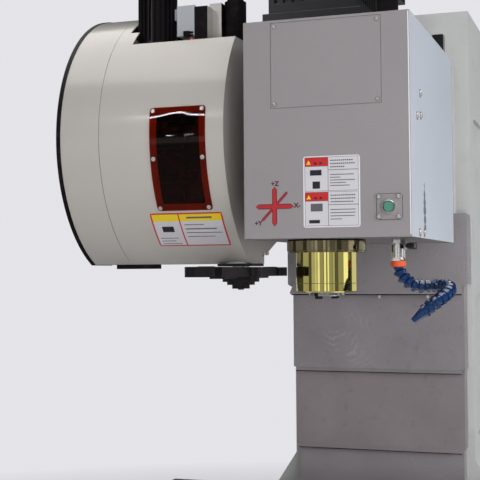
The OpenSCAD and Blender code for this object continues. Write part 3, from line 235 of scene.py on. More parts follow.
class Shader(Nodes):
    """One procedural material with a principled shader on Object coordinates."""

    def __init__(self, name: str) -> None:
        """Make a material that shows its principled shader.

        Args:
            name: Name of the material.
        """
        self.material = bpy.data.materials.new(name)
        self.material.use_nodes = True
        super().__init__(self.material.node_tree, "ShaderNodeOutputMaterial")
        self.surface = self.tree.nodes.new("ShaderNodeBsdfPrincipled")
        self.look = Wire(self, self.surface.outputs["BSDF"])
        self.show(self.look)
        self.place = self.add("ShaderNodeTexCoord", {}, {}, "Object")

    def set(self, **sockets: Any) -> None:
        """Set or link the principled shader's sockets, with _ for each space in a name."""
        for name, value in sockets.items():
            self.feed(self.surface.inputs[name.replace("_", " ")], value)

    def noise(
        self, scale: float, detail: float = 3, rough: float = 0.5, stretch: Point = (1, 1, 1)
    ) -> Wire:
        """Noise on the piece's own coordinates.

        Args:
            scale: Cycles in a metre.
            detail: Octaves.
            rough: Share of the fine octaves.
            stretch: Scale of each axis before the noise.

        Returns:
            A wire from about 0.3 to 0.7.
        """
        place = self.place
        if stretch != (1, 1, 1):
            place = self.add("ShaderNodeMapping", {}, {"Vector": self.place, "Scale": stretch})
        values = {"Vector": place, "Scale": scale, "Detail": detail, "Roughness": rough}
        return self.add("ShaderNodeTexNoise", {}, values)

    def mix(self, factor: Wire, low: Wire | Colour, high: Wire | Colour) -> Wire:
        """Blend two colours by a factor."""
        return self.add("ShaderNodeMix", {"data_type": "RGBA"}, {"Factor": factor, 6: low, 7: high}, 2)

    def bump(self, height: Wire, strength: float, distance: float) -> Wire:
        """Normal of a bump, from a height of 0 to 1, its strength and its distance in metres."""
        return self.add("ShaderNodeBump", {}, {"Height": height, "Strength": strength, "Distance": distance})


@dataclass(frozen=True)
class Paint:
    """Sprayed machine paint with a fine grain, faint clouds and a few dusty marks."""

    name: str
    colour: Colour
    roughness: float = 0.42
    grain_scale: float = 900
    grain_height: float = 0.06 * MM
    cloud: float = 0.06
    soil: float = 0.08
    coat: float = 0.0
    coat_roughness: float = 0.25
    speck: float = 0.89
    soil_depth: float = 2.2

    def marked(self, shader: Shader, colour: Wire) -> Wire:
        """The colour with what was left on the paint; nothing by itself."""
        return colour

    def make(self) -> bpy.types.Material:
        """Build the material.

        Returns:
            The finished material.
        """
        shader = Shader(self.name)
        grain = shader.noise(self.grain_scale, 2, 0.6)
        clouds = shader.noise(5, 4, 0.6)
        marks = shader.noise(38, 5, 0.72).rising(0.56, 6)
        deep, pale = shaded(self.colour, 1 - self.cloud), shaded(self.colour, 1 + self.cloud)
        speck, soil = shaded(self.colour, self.speck), shaded(self.colour, 1 - self.soil * self.soil_depth)
        clouded = shader.mix(clouds.rising(0.35, 3.2), deep, pale)
        speckled = shader.mix(grain.rising(0.42, 3), speck, clouded)
        shader.set(
            Base_Color=self.marked(shader, shader.mix(marks * self.soil, speckled, soil)),
            Roughness=(self.roughness + (clouds - 0.5) * 0.12 + marks * 0.06).clamped(),
            Normal=shader.bump(grain, 0.5, self.grain_height),
            Coat_Weight=self.coat,
            Coat_Roughness=self.coat_roughness,
        )
        return shader.material


@dataclass(frozen=True)
class Wiped(Paint):
    """Machine paint with a patch of pale arcs where a wet cloth has dried."""

    hub: Point = (-0.118, 0.0, 1.296)
    patch: Point = (-0.078, 0.0, 1.250)
    reach: float = 0.10
    pitch: float = 0.017
    drift: float = 0.09
    strength: float = 0.85
    film: float = 0.16
    paleness: float = 1.22

    def marked(self, shader: Shader, colour: Wire) -> Wire:
        """Lay the arcs over the paint.

        Args:
            shader: The material's nodes.
            colour: Colour of the paint.

        Returns:
            The colour with the arcs.
        """
        level = {0: shader.place, 1: (1, 0, 1)}
        flat = shader.add("ShaderNodeVectorMath", {"operation": "MULTIPLY"}, level, "Vector")

        def away(point: Point) -> Wire:
            """Distance from a point of the plate."""
            return shader.add("ShaderNodeVectorMath", {"operation": "DISTANCE"}, {0: flat, 1: point}, "Value")

        wave = (away(self.hub) + shader.noise(9, 4, 0.6) * self.drift) * (FULL_TURN / self.pitch)
        arcs = (shader.add("ShaderNodeMath", {"operation": "SINE"}, {0: wave}) * 1.4).clamped()
        patch = ((self.reach - away(self.patch)) * (1.6 / self.reach)).clamped()
        torn = shader.noise(22, 3, 0.6).rising(0.44, 5)
        film = (patch * self.film + arcs * patch * torn * self.strength).clamped()
        return shader.mix(film, colour, shaded(self.colour, self.paleness))


@dataclass(frozen=True)
class Cast:
    """Painted iron casting: a coarse skin under the paint, with soil in its low places."""

    name: str
    colour: Colour
    roughness: float = 0.55
    skin: float = 0.8 * MM
    soil: float = 0.72

    def make(self) -> bpy.types.Material:
        """Build the material.

        Returns:
            The finished material.
        """
        shader = Shader(self.name)
        lumps = shader.noise(16, 3, 0.5)
        pits = shader.noise(140, 3, 0.6)
        soil = shader.noise(7, 6, 0.7).rising(0.52, 4)
        shader.set(
            Base_Color=shader.mix(soil * 0.55, self.colour, shaded(self.colour, self.soil)),
            Roughness=self.roughness + soil * 0.15,
            Normal=shader.bump(lumps * 0.7 + pits * 0.3, 0.5, self.skin),
        )
        return shader.material


class Grain(Enum):
    """How a metal surface was worked; the value is the stretch of its scratches."""

    ALONG_X = (1.0, 40.0, 40.0)
    ALONG_Z = (40.0, 40.0, 1.0)
    EVEN = (6.0, 6.0, 6.0)


@dataclass(frozen=True)
class Metal:
    """Bare metal with the scratches of its working and a light tarnish."""

    name: str
    colour: Colour
    roughness: float = 0.25
    grain: Grain = Grain.EVEN
    scratch: float = 0.02 * MM
    tarnish: float = 0.12
    metallic: float = 1.0

    def make(self) -> bpy.types.Material:
        """Build the material.

        Returns:
            The finished material.
        """
        shader = Shader(self.name)
        lines = shader.noise(30, 4, 0.65, self.grain.value)
        stains = shader.noise(22, 4, 0.6).rising(0.5, 4)
        shader.set(
            Base_Color=shader.mix(stains, self.colour, shaded(self.colour, 1 - self.tarnish)),
            Metallic=self.metallic,
            Roughness=(self.roughness + (lines - 0.5) * 0.16 + stains * 0.04).clamped(),
            Normal=shader.bump(lines, 0.35, self.scratch),
        )
        return shader.material


@dataclass(frozen=True)
class Plastic:
    """Moulded plastic or rubber with a faint moulding grain."""

    name: str
    colour: Colour
    roughness: float = 0.4
    texture: float = 0.04 * MM
    coat: float = 0.0
    shine: float = 0.5
    dust_grey: float = 0.25
    dust: float = 0.08

    def make(self) -> bpy.types.Material:
        """Build the material.

        Returns:
            The finished material.
        """
        shader = Shader(self.name)
        grain = shader.noise(700, 2, 0.5)
        dust = shader.noise(45, 4, 0.6).rising(0.5, 3)
        dusty = tuple(channel + (self.dust_grey - channel) * self.dust for channel in self.colour)
        shader.set(
            Base_Color=shader.mix(dust, self.colour, dusty),
            Roughness=(self.roughness + (grain - 0.5) * 0.12 + dust * 0.05).clamped(),
            Normal=shader.bump(grain, 0.4, self.texture),
            Specular_IOR_Level=self.shine,
            Coat_Weight=self.coat,
            Coat_Roughness=0.08,
        )
        return shader.material


@dataclass(frozen=True)
class Tinted:
    """Tinted clear sheet; what lies close behind it shows through in its colour."""

    name: str
    colour: Colour
    clear: float = 1.0
    smooth: float = 0.03

    def make(self) -> bpy.types.Material:
        """Build the material.

        Returns:
            The finished material.
        """
        shader = Shader(self.name)
        haze = shader.noise(30, 3, 0.6)
        shader.set(
            Base_Color=self.colour,
            Roughness=(self.smooth + (haze - 0.5) * 0.03).clamped(),
            Transmission_Weight=self.clear,
            IOR=1.05,
            Coat_Weight=0.5,
            Coat_Roughness=0.02,
        )
        return shader.material


Finish = Paint | Cast | Metal | Plastic | Tinted


class Finishes:
    """Every finish of the machine, each material made once."""

    HEAD = Paint("head_grey", srgb(156, 151, 153), 0.40, 400, 0.00009)
    SIDE = Paint("head_side", srgb(208, 214, 224), 0.38, 700, 0.00006)
    COVER = Paint("way_cover_grey", srgb(149, 144, 147), 0.34, 520, 0.00004, 0.2, 0.24)
    DULL = Paint("cover_dull", srgb(141, 133, 136), 0.36, 520, 0.00004, 0.34, 0.3)
    WIPED = Wiped("way_cover_wiped", srgb(145, 139, 142), 0.34, 520, 0.00004, 0.34, 0.3)
    DRUM = Paint("drum_beige", srgb(200, 195, 189), 0.36, 800, 0.00005, 0.03, 0.05, 0.7, 0.16)
    CABINET = Paint("cabinet_grey", srgb(196, 200, 205), 0.42, 800, 0.00006)
    BLACK = Paint("black_enamel", srgb(22, 18, 21), 0.3, 500, 0.00006, 0.1, 0.2)
    # Painted shade: near black on the drum's inner faces for the dark inside of the magazine.
    INSIDE_SHADE = Paint("drum_inside_painted_shade", srgb(10, 8, 9), 0.7, 500, 0.00006, 0.1, 0.2)
    VIOLET = Paint("disc_violet", srgb(48, 44, 72), 0.3, 600, 0.00004, 0.1, 0.1)
    CASTING = Cast("machine_casting", srgb(198, 199, 197))
    STEEL = Metal("ground_steel", srgb(205, 206, 208), 0.24)
    TABLE = Metal("table_steel", srgb(196, 197, 199), 0.3, Grain.ALONG_X)
    RAIL = Metal("rail_steel", srgb(214, 215, 218), 0.14)
    SCREW = Metal("screw_steel", srgb(222, 220, 214), 0.2, metallic=0.55)
    GOLD = Metal("nose_gold", srgb(222, 211, 128), 0.035, Grain.ALONG_Z, 0.000003, 0.05)
    FLANGE = Metal("flange_bronze", srgb(138, 127, 98), 0.1, Grain.ALONG_Z, 0.000005, 0.25)
    CHROME = Metal("valve_chrome", srgb(226, 226, 226), 0.1)
    DARK = Metal("dark_steel", srgb(92, 92, 96), 0.38)
    # Black rubber, also used as painted shade on the dark strip at the spindle flange's top and under the
    # cover lips.
    RUBBER_AND_SHADE = Plastic("black_rubber_and_shade", srgb(22, 18, 21), 0.55, shine=0.15)
    BLACK_PLASTIC = Plastic("black_plastic", srgb(22, 22, 24), 0.32)
    GREEN = Plastic("button_green", srgb(80, 140, 122), 0.3, coat=0.2)
    ORANGE = Plastic("collar_orange", srgb(228, 92, 46), 0.28, coat=0.3)
    BLUE = Plastic("hose_blue", srgb(16, 48, 92), 0.14, coat=0.8)
    MODULE = Plastic("module_grey", srgb(190, 192, 188), 0.45)
    RED = Paint("mark_red", srgb(190, 46, 52), 0.4, 900, 0.00002)
    DEEP_RED = Paint("mark_shadow", srgb(92, 20, 30), 0.45, 900, 0.00002)
    FIELD_RED = Plastic("plate_red", srgb(196, 40, 44), 0.35)
    WHITE = Plastic("plate_white", srgb(226, 224, 228), 0.35)
    SHEET_WHITE = Plastic("plate_paper", srgb(208, 206, 211), 0.4)
    INK = Plastic("plate_ink", srgb(96, 94, 100), 0.45)
    BLACK_INK = Plastic("plate_black", srgb(38, 34, 42), 0.45)
    YELLOW = Plastic("plate_yellow", srgb(238, 206, 40), 0.38)
    # Painted reflection: grey for the long dark streak on the head's right side, a blurred reflection painted
    # on.
    DARK_REFLECTION = Plastic("painted_reflection_grey", srgb(112, 114, 122), 0.5)
    # Painted highlight: bright paint for the strip that stands for the shine on the head sheet's fold at its
    # right edge.
    EDGE = Paint("edge_painted_highlight", srgb(244, 244, 246), 0.3, 900, 0.00002)
    # Dark seams, also used for the painted shade rings under the screw heads.
    SEAM_AND_SHADE = Plastic("seam_and_shade_dark", srgb(88, 84, 86), 0.6)
    AMBER = Tinted("amber_pane", (0.46, 0.09, 0.024))

    def __init__(self) -> None:
        """Start with no material made."""
        self._made: dict[str, bpy.types.Material] = {}

    def of(self, finish: Finish) -> bpy.types.Material:
        """The material of a finish, made on first use.

        Args:
            finish: One of the finishes.

        Returns:
            Its material.
        """
        if finish.name not in self._made:
            self._made[finish.name] = finish.make()
        return self._made[finish.name]


def stand(name: str, data: bpy.types.ID, *materials: bpy.types.Material) -> bpy.types.Object:
    """Put a mesh, a lamp or a camera into the scene.

    Args:
        name: Name of the object.
        data: The mesh, lamp or camera.
        materials: The mesh's materials, in order.

    Returns:
        The object, at the origin.
    """
    made = bpy.data.objects.new(name, data)
    bpy.context.scene.collection.objects.link(made)
    for material in materials:
        data.materials.append(material)
    return made


def facing(way: Vector, track: str) -> Matrix:
    """Turn that points an object's own track axis along a way."""
    return way.to_track_quat(track, "Y").to_matrix().to_4x4()


class Form:
    """A mesh under construction, in the frame's own place."""

    def __init__(self) -> None:
        """Start an empty mesh."""
        self.bm = bmesh.new()

    def block(self, low: Point, high: Point, bevel: float = 0.0) -> "Form":
        """Add a block.

        Args:
            low: Its lower corner.
            high: Its upper corner.
            bevel: Width of the rounding of its edges.

        Returns:
            This form.
        """
        made = bmesh.ops.create_cube(self.bm, size=1)["verts"]
        low_v, high_v = Vector(low), Vector(high)
        place = Matrix.Translation((low_v + high_v) / 2) @ Matrix.Diagonal((*(high_v - low_v), 1))
        bmesh.ops.transform(self.bm, matrix=place, verts=made)
        if bevel:
            edges = list({edge for vert in made for edge in vert.link_edges})
            bmesh.ops.bevel(
                self.bm, geom=edges, offset=bevel, segments=2, affect="EDGES", profile=0.5, material=-1
            )
        return self

    def merge(self, part: bmesh.types.BMesh, matrix: Matrix) -> None:
        """Add a finished mesh in its place.

        Args:
            part: The mesh; it is freed.
            matrix: Its place.
        """
        bmesh.ops.transform(part, matrix=matrix, verts=part.verts[:])
        mesh = bpy.data.meshes.new("part")
        part.to_mesh(mesh)
        part.free()
        self.bm.from_mesh(mesh)
        bpy.data.meshes.remove(mesh)

    def disc(
        self,
        at: Vector,
        way: Vector,
        radius: float,
        height: float,
        bevel: float = 0.0,
        sides: int = 24,
        dish: float = 0.0,
    ) -> "Form":
        """Add a round boss that stands on a point.

        Args:
            at: Middle of its foot.
            way: Way it stands.
            radius: Its radius.
            height: Its height.
            bevel: Rounding of its outer edge.
            sides: Number of sides.
            dish: Depth of a socket in its face, as a share of the height.

        Returns:
            This form.
        """
        part = bmesh.new()
        bmesh.ops.create_cone(
            part, cap_ends=True, segments=sides, radius1=radius, radius2=radius, depth=height
        )
        if bevel:
            rim = [edge for edge in part.edges if all(vert.co.z > 0 for vert in edge.verts)]
            bmesh.ops.bevel(
                part, geom=rim, offset=bevel, segments=3, affect="EDGES", profile=0.5, material=-1
            )
        if dish:
            # The first inset leaves the rim of the head, the second makes the steep wall of its socket.
            top = max(part.faces, key=lambda face: face.calc_center_median().z)
            for share in (0.42, 0.04):
                bmesh.ops.inset_region(part, faces=[top], thickness=(radius - bevel) * share)
            bmesh.ops.translate(part, vec=(0, 0, -height * dish), verts=list(top.verts))
        lift = Matrix.Translation((0, 0, height / 2))
        self.merge(part, Matrix.Translation(at) @ facing(way, "Z") @ lift)
        return self

    def collar(self, at: Vector, outer: float, inner: float, height: float) -> "Form":
        """Add a round ring that stands out to the front.

        Args:
            at: Middle of its foot.
            outer: Its outer radius.
            inner: Its inner radius.
            height: How far it stands out.

        Returns:
            This form.
        """
        lip = 1 * MM
        profile = ((inner, 0), (outer, 0), (outer, height - lip), (outer - lip, height), (inner, height))
        verts = [self.bm.verts.new(at + Vector((r, -out, 0))) for r, out in profile]
        edges = [self.bm.edges.new((verts[i - 1], verts[i])) for i in range(len(verts))]
        bmesh.ops.spin(
            self.bm, geom=[*verts, *edges], cent=at, axis=(0, 1, 0), angle=FULL_TURN, steps=40, use_merge=True
        )
        bmesh.ops.remove_doubles(self.bm, verts=self.bm.verts[:], dist=WELD)
        bmesh.ops.recalc_face_normals(self.bm, faces=self.bm.faces[:])
        return self

    def ribbon(self, rows: Sequence[Sequence[Vector]], way: Vector) -> "Form":
        """Add a flat ribbon by drawing its first edge out from row to row.

        Args:
            rows: The two ends of the edge at each step.
            way: Way that its faces look.

        Returns:
            This form.
        """
        ends = [self.bm.verts.new(point) for point in rows[0]]
        edge = self.bm.edges.new(ends)
        for row in rows[1:]:
            # The new edge starts in the old one's place, which tells its two ends apart.
            made = bmesh.ops.extrude_edge_only(self.bm, edges=[edge])["geom"]
            edge = next(part for part in made if isinstance(part, bmesh.types.BMEdge))
            ends = sorted(edge.verts, key=lambda vert: (vert.co - ends[0].co).length)
            for vert, point in zip(ends, row):
                vert.co = point
        return self.turned_to(way)

    def turned_to(self, way: Vector) -> "Form":
        """Turn every face that looks away from a way.

        Args:
            way: Way that the faces shall look.

        Returns:
            This form.
        """
        self.bm.normal_update()
        away = [face for face in self.bm.faces if face.normal.dot(way) < 0]
        bmesh.ops.reverse_faces(self.bm, faces=away)
        return self

    def stand(self, name: str, *materials: bpy.types.Material) -> bpy.types.Object:
        """Close the form and put it into the scene.

        Args:
            name: Name of the mesh and its object.
            materials: Its materials, in order.

        Returns:
            The new object.
        """
        mesh = bpy.data.meshes.new(name)
        self.bm.to_mesh(mesh)
        self.bm.free()
        return stand(name, mesh, *materials)


def shade(bm: bmesh.types.BMesh, angle: float) -> None:
    """Smooth the faces and keep the edges sharper than an angle as creases.

    Args:
        bm: The mesh.
        angle: Angle in degrees.
    """
    limit = math.radians(angle)
    for face in bm.faces:
        face.smooth = True
    for edge in bm.edges:
        edge.smooth = len(edge.link_faces) == 2 and edge.calc_face_angle(0) < limit


def rectangle(width: float, height: float) -> Outline:
    """Corners of a rectangle about the origin."""
    return [(x * width / 2, z * height / 2) for x, z in ((1, 1), (-1, 1), (-1, -1), (1, -1))]


def plate(points: Outline, at: Point, thick: float, corner: float = 0.0) -> Form:
    """Make a thin plate that stands out from a wall that faces the front.

    Args:
        points: Its outline, across and up.
        at: Its middle on the wall.
        thick: How far it stands out.
        corner: Radius of its corners.

    Returns:
        The form.
    """
    form = Form()
    verts = [form.bm.verts.new(Vector(at) + Vector((x, 0, z))) for x, z in points]
    form.bm.faces.new(verts)
    if corner:
        bmesh.ops.bevel(
            form.bm, geom=verts, offset=corner, segments=5, affect="VERTICES", profile=0.5, material=-1
        )
    made = bmesh.ops.extrude_face_region(form.bm, geom=form.bm.faces[:])["geom"]
    tops = [part for part in made if isinstance(part, bmesh.types.BMVert)]
    bmesh.ops.translate(form.bm, vec=Axis.FRONT.value * thick, verts=tops)
    bmesh.ops.recalc_face_normals(form.bm, faces=form.bm.faces[:])
    return form


def corner_seats(low: Vector, high: Vector, inset: float) -> list[Point]:
    """Four seats on the front of a box, set in from its corners."""
    return [(x, low.y, z) for x in (low.x + inset, high.x - inset) for z in (low.z + inset, high.z - inset)]


@dataclass
class Assembly:
    """A group of nodes and pieces that is dressed together."""

    finishes: Finishes

    def node(self, name: str, finish: Finish) -> None:
        """Give a node of the frame one finish.

        Args:
            name: Name of the node.
            finish: The finish for all its slots.
        """
        materials = bpy.data.objects[name].data.materials
        materials.clear()
        materials.append(self.finishes.of(finish))
        LOG.info("node %s", name)

    def piece(self, form: Form, name: str, body: str, finish: Finish, smooth: float = 35) -> None:
        """Turn a form into a piece that rides on a body.

        Args:
            form: The form; it is closed.
            name: Name of the piece.
            body: Body that it moves with.
            finish: Its finish.
            smooth: Faces that meet at less than this angle look smooth.
        """
        shade(form.bm, smooth)
        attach(form.stand(name, self.finishes.of(finish)), body)
        LOG.info("piece %s on %s", name, body)

    def refined(
        self,
        name: str,
        finish: Finish,
        bevel: float,
        smooth: float = 40,
        dress: Callable[[bmesh.types.BMFace], Finish] | None = None,
    ) -> bpy.types.Object:
        """Stand a welded copy with rounded edges in a node's place.

        Args:
            name: Name of the node.
            finish: Its finish.
            bevel: Width of the rounding of its sharp edges.
            smooth: Angle below which faces look smooth.
            dress: Gives the finish of one face where the node has several.

        Returns:
            The piece that stands for the node.
        """
        node = bpy.data.objects[name]
        form = Form()
        form.bm.from_mesh(node.data)
        bmesh.ops.remove_doubles(form.bm, verts=form.bm.verts[:], dist=WELD)
        bmesh.ops.dissolve_limit(
            form.bm,
            angle_limit=math.radians(0.4),
            use_dissolve_boundaries=False,
            verts=form.bm.verts[:],
            edges=form.bm.edges[:],
        )
        shade(form.bm, smooth)
        kinds = [finish]
        for face in form.bm.faces:
            kind = dress(face) if dress else finish
            if kind not in kinds:
                kinds.append(kind)
            face.material_index = kinds.index(kind)
        piece = form.stand(name + "_skin", *(self.finishes.of(kind) for kind in kinds))
        rounding = piece.modifiers.new("rounding", "BEVEL")
        rounding.width = bevel
        rounding.segments = 2
        rounding.limit_method = "ANGLE"
        rounding.angle_limit = math.radians(smooth)
        rounding.use_clamp_overlap = True
        rounding.harden_normals = True
        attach(piece, node["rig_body"])
        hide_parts(name)
        LOG.info("skin for %s", name)
        return piece

    def screws(
        self, name: str, body: str, places: Iterable[Point], axis: Axis, size: float, gap: float = 0.0
    ) -> None:
        """Place a group of like socket screws.

        Args:
            name: Name of the group.
            body: Body that they move with.
            places: Middle of each head's seat.
            axis: Way the heads stand.
            size: Radius of a head.
            gap: Width of the dark ring round each head, painted shade and gap where the head sits.
        """
        ring_high = 0.25 * MM
        # A flat dark ring under each head paints its contact shade as well as the gap round it.
        if gap:
            rings = Form()
            for place in places:
                rings.disc(Vector(place), axis.value, size + gap, ring_high)
            self.piece(rings, name + "_seats", body, Finishes.SEAM_AND_SHADE)
        heads = Form()
        for place in places:
            heads.disc(Vector(place), axis.value, size, size * 0.62, size * 0.22, 20, 0.5)
        self.piece(heads, name, body, Finishes.SCREW)


class Layer(Enum):
    """Printed layers of the head's plate, each with its name, the order of laying and its finish."""

    FRAME = ("frame", 1, Finishes.INK)
    PAPER = ("paper", 2, Finishes.SHEET_WHITE)
    FIELD = ("field", 2, Finishes.FIELD_RED)
    WORDS = ("ink", 3, Finishes.BLACK_INK)
    LINES = ("soft", 3, Finishes.INK)

    def __init__(self, label: str, order: int, finish: Finish) -> None:
        """Name the parts of a layer's value."""
        self.label, self.order, self.finish = label, order, finish


Patch = tuple[Layer, float, float, float, float]


@dataclass(frozen=True)
class Print:
    """What one part of the head's plate shows, in millimetres from its lower left corner."""

    low: float
    titles: tuple[int, ...]
    lines: tuple[int, ...]
    line_step: float
    pictures: tuple[Patch, ...]
    width: float = 127
    height: float = 78
    rim: float = 1
    column: float = 55
    gutter: float = 1.2
    indent: float = 5
    red_high: float = 20
    title_high: float = 29
    title_gap: float = 1.5
    title_drop: float = 6.4
    title_step: float = 7.6
    word_step: float = 5
    word: tuple[float, float] = (3.6, 2.6)
    line_drop: float = 40
    line_high: float = 2
    tags_at: tuple[float, ...] = (22, 35)
    tag_drop: float = 11
    tag: tuple[float, float] = (6, 5)
    sign: tuple[tuple[float, float], ...] = ((3, 62), (14, 62), (8.5, 72))

    def patches(self) -> Iterator[Patch]:
        """Every printed patch.

        Yields:
            The layer of a patch, its left and right and its lower and upper edge.
        """
        right = self.column + self.gutter
        yield Layer.FRAME, -self.rim, self.width + self.rim, -self.rim, self.height + self.rim
        yield Layer.PAPER, 0, self.column, 0, self.height - self.red_high - self.rim
        yield Layer.FIELD, 0, self.column, self.height - self.red_high, self.height
        yield Layer.PAPER, right, self.width, self.height - self.title_high, self.height
        yield Layer.PAPER, right, self.width, 0, self.height - self.title_high - self.title_gap
        for row, length in enumerate(self.titles):
            top = self.height - self.title_drop - row * self.title_step
            for word in range(int(length / self.word_step)):
                start = self.column + self.indent + 1 + word * self.word_step
                yield Layer.WORDS, start, start + self.word[0], top - self.word[1], top
        for row, length in enumerate(self.lines):
            top = self.height - self.line_drop - row * self.line_step
            start = self.column + self.indent
            yield Layer.LINES, start, start + length, top - self.line_high, top
        for start in self.tags_at:
            top = self.height - self.tag_drop
            yield Layer.WORDS, start, start + self.tag[0], top - self.tag[1], top
        yield from self.pictures


@dataclass
class Head(Assembly):
    """Spindle head: sheet housing, casting, motor, plates, marks and button."""

    sheet_bevel: float = 2.5 * MM
    film: float = 0.3 * MM
    seam_line: float = 0.9 * MM
    seam_out: float = 0.12 * MM
    seam_in: float = 0.3 * MM
    panel_inset: float = 9 * MM
    panel_screw: tuple[float, float] = (4.2 * MM, 1.2 * MM)
    # The painted highlight strip on the fold: its offsets in from the right edge, and below, in from its
    # ends.
    fold: tuple[float, float] = (4 * MM, 1.6 * MM)
    fold_ends: tuple[float, float] = (5 * MM, 3 * MM)
    button_inset: float = 6.2 * MM
    button_screw: tuple[float, float] = (4.6 * MM, 1 * MM)
    button_seam: float = 1.5 * MM
    button_ring: tuple[float, float, float] = (14.6 * MM, 12.5 * MM, 5 * MM)
    corner: float = 6 * MM
    mark_x: float = -86 * MM
    mark_up: float = 76 * MM
    mark_half: float = 45.5 * MM
    mark_width: float = 8.6 * MM
    mark_rim: float = 1.7 * MM
    mark_point: float = 0.6
    stroke_step: float = 0.03 * MM
    slant: float = 47
    slant_share: float = 0.36
    letter_size: float = 15.5 * MM
    letter_weight: float = 0.6 * MM
    letters: tuple[tuple[str, str, float, float], ...] = (
        ("mark_z", "+Z", 1, 53.5),
        ("mark_x", "X-", 55.5, 1),
        ("mark_y", "+Y", -40.5, -39.5),
    )
    placard_x: float = 53 * MM
    placard_up: float = 108 * MM
    placard_w: float = 136 * MM
    placard_h: float = 167 * MM
    placard_margin: float = 4.5 * MM
    layer_step: float = 0.05 * MM
    prints: tuple[Print, ...] = (
        Print(
            -79.5, (61, 60, 57), (60, 60, 58, 28), 7.4,
            ((Layer.LINES, 13, 42, 33.5, 51.5), (Layer.WORDS, 9, 35, 5.5, 13.5)),
        ),
        Print(
            2, (56, 60, 38), (57, 25, 60, 38, 47), 6.4,
            ((Layer.WORDS, 12, 40, 36, 49), (Layer.WORDS, 18, 36, 5, 22)),
        ),
    )
    side_seats: tuple[tuple[float, float], ...] = ((132, 346), (87, 287), (136, 293), (102, 12), (161, 13))
    side_screw: tuple[float, float] = (6.5 * MM, 4 * MM)
    streak_y: float = 169
    streak_up: float = 136
    streak_lean: float = 0.04
    streak_sway: float = 0.9
    streak_wave: float = 0.55
    streak_lift: float = 0.1 * MM
    streak: tuple[tuple[float, float], ...] = (
        (0, 0.6), (3, 3), (9, 5.2), (15, 3.6), (18, 1.6), (21, 6), (26, 10), (32, 12), (37, 10), (40, 7),
        (43, 12), (48, 16.5), (54, 15), (58, 11), (62, 16), (68, 19), (75, 17.5), (79, 9), (81, 6), (84, 13),
        (90, 17), (96, 15), (100, 9), (102, 6.5), (105, 12), (111, 14.5), (117, 9), (120, 3), (122, 0.6),
    )
    low: Vector = field(init=False)
    high: Vector = field(init=False)
    axis_x: float = field(init=False)
    front: float = field(init=False)

    def build(self) -> None:
        """Dress the head's nodes and add its plates, marks and screws."""
        self.low, self.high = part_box("head_cover")
        nose_low, nose_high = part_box("nose_cap")
        self.axis_x = (nose_low.x + nose_high.x) / 2
        self.front = self.low.y
        self.dress_nodes()
        self.build_axis_marks()
        self.build_placard()
        self.build_panel()
        self.build_button()
        self.build_side()

    def dress_nodes(self) -> None:
        """Give the head's nodes their finishes."""
        right = self.high.x

        def side_or_front(face: bmesh.types.BMFace) -> Finish:
            """The right side is a paler panel."""
            on_side = face.normal.x > 0.9 and face.calc_center_median().x > right - 1 * MM
            return Finishes.SIDE if on_side else Finishes.HEAD

        self.refined("head_cover", Finishes.HEAD, self.sheet_bevel, dress=side_or_front)
        self.refined("access_panel", Finishes.HEAD, 0.5 * MM)
        self.node("head_casting", Finishes.CASTING)
        self.node("head_blocks", Finishes.DARK)
        self.refined("spindle_motor", Finishes.DARK, 1 * MM)
        self.refined("button_plate", Finishes.HEAD, 0.6 * MM)
        self.refined("push_button", Finishes.GREEN, 1.2 * MM)
        self.refined("motor_coupling", Finishes.DARK, 1 * MM)

    def build_axis_marks(self) -> None:
        """Raise the red axis cross with its letters on the front."""
        x = self.axis_x + self.mark_x
        z = self.low.z + self.mark_up

        def bar(half: float, width: float, angle: float) -> Outline:
            """Outline of a bar with pointed ends.

            Args:
                half: Half its length.
                width: Its width.
                angle: Its turn in degrees from level.

            Returns:
                The six points.
            """
            neck = half - width * self.mark_point
            side = width / 2
            level = ((-half, 0), (-neck, -side), (neck, -side), (half, 0), (neck, side), (-neck, side))
            c, n = math.cos(math.radians(angle)), math.sin(math.radians(angle))
            return [(p * c - q * n, p * n + q * c) for p, q in level]

        strokes = (("level", 1, 0), ("upright", 1, 90), ("slant", self.slant_share, self.slant))
        layers = (
            ("edge", Finishes.DEEP_RED, self.mark_rim, self.film * 0.6),
            ("fill", Finishes.RED, 0, self.film),
        )
        for layer, finish, rim, lift in layers:
            for order, (stroke, share, angle) in enumerate(strokes):
                points = bar(self.mark_half + rim, self.mark_width * share + 2 * rim, angle)
                mark = plate(points, (x, self.front, z), lift - order * self.stroke_step)
                self.piece(mark, f"mark_{stroke}_{layer}", "head", finish)
        for name, text, across, up in self.letters:
            self.letter(name, text, (x + across * MM, self.front, z + up * MM))

    def letter(self, name: str, text: str, at: Point) -> None:
        """Put a small axis letter on the front.

        Args:
            name: Name of the piece.
            text: The axis letter and its sign.
            at: Its middle.
        """
        curve = bpy.data.curves.new(name, "FONT")
        curve.body = text
        curve.size = self.letter_size
        curve.offset = self.letter_weight
        curve.extrude = self.film / 2
        curve.align_x = "CENTER"
        curve.align_y = "CENTER"
        source = stand(name + "_source", curve)
        bpy.context.view_layer.update()
        mesh = bpy.data.meshes.new_from_object(source.evaluated_get(bpy.context.evaluated_depsgraph_get()))
        bpy.data.objects.remove(source)
        mesh.transform(Matrix.Translation(at) @ Matrix.Rotation(math.radians(90), 4, "X"))
        mesh.materials.clear()
        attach(stand(name, mesh, self.finishes.of(Finishes.DEEP_RED)), "head")
        LOG.info("letter %s", name)

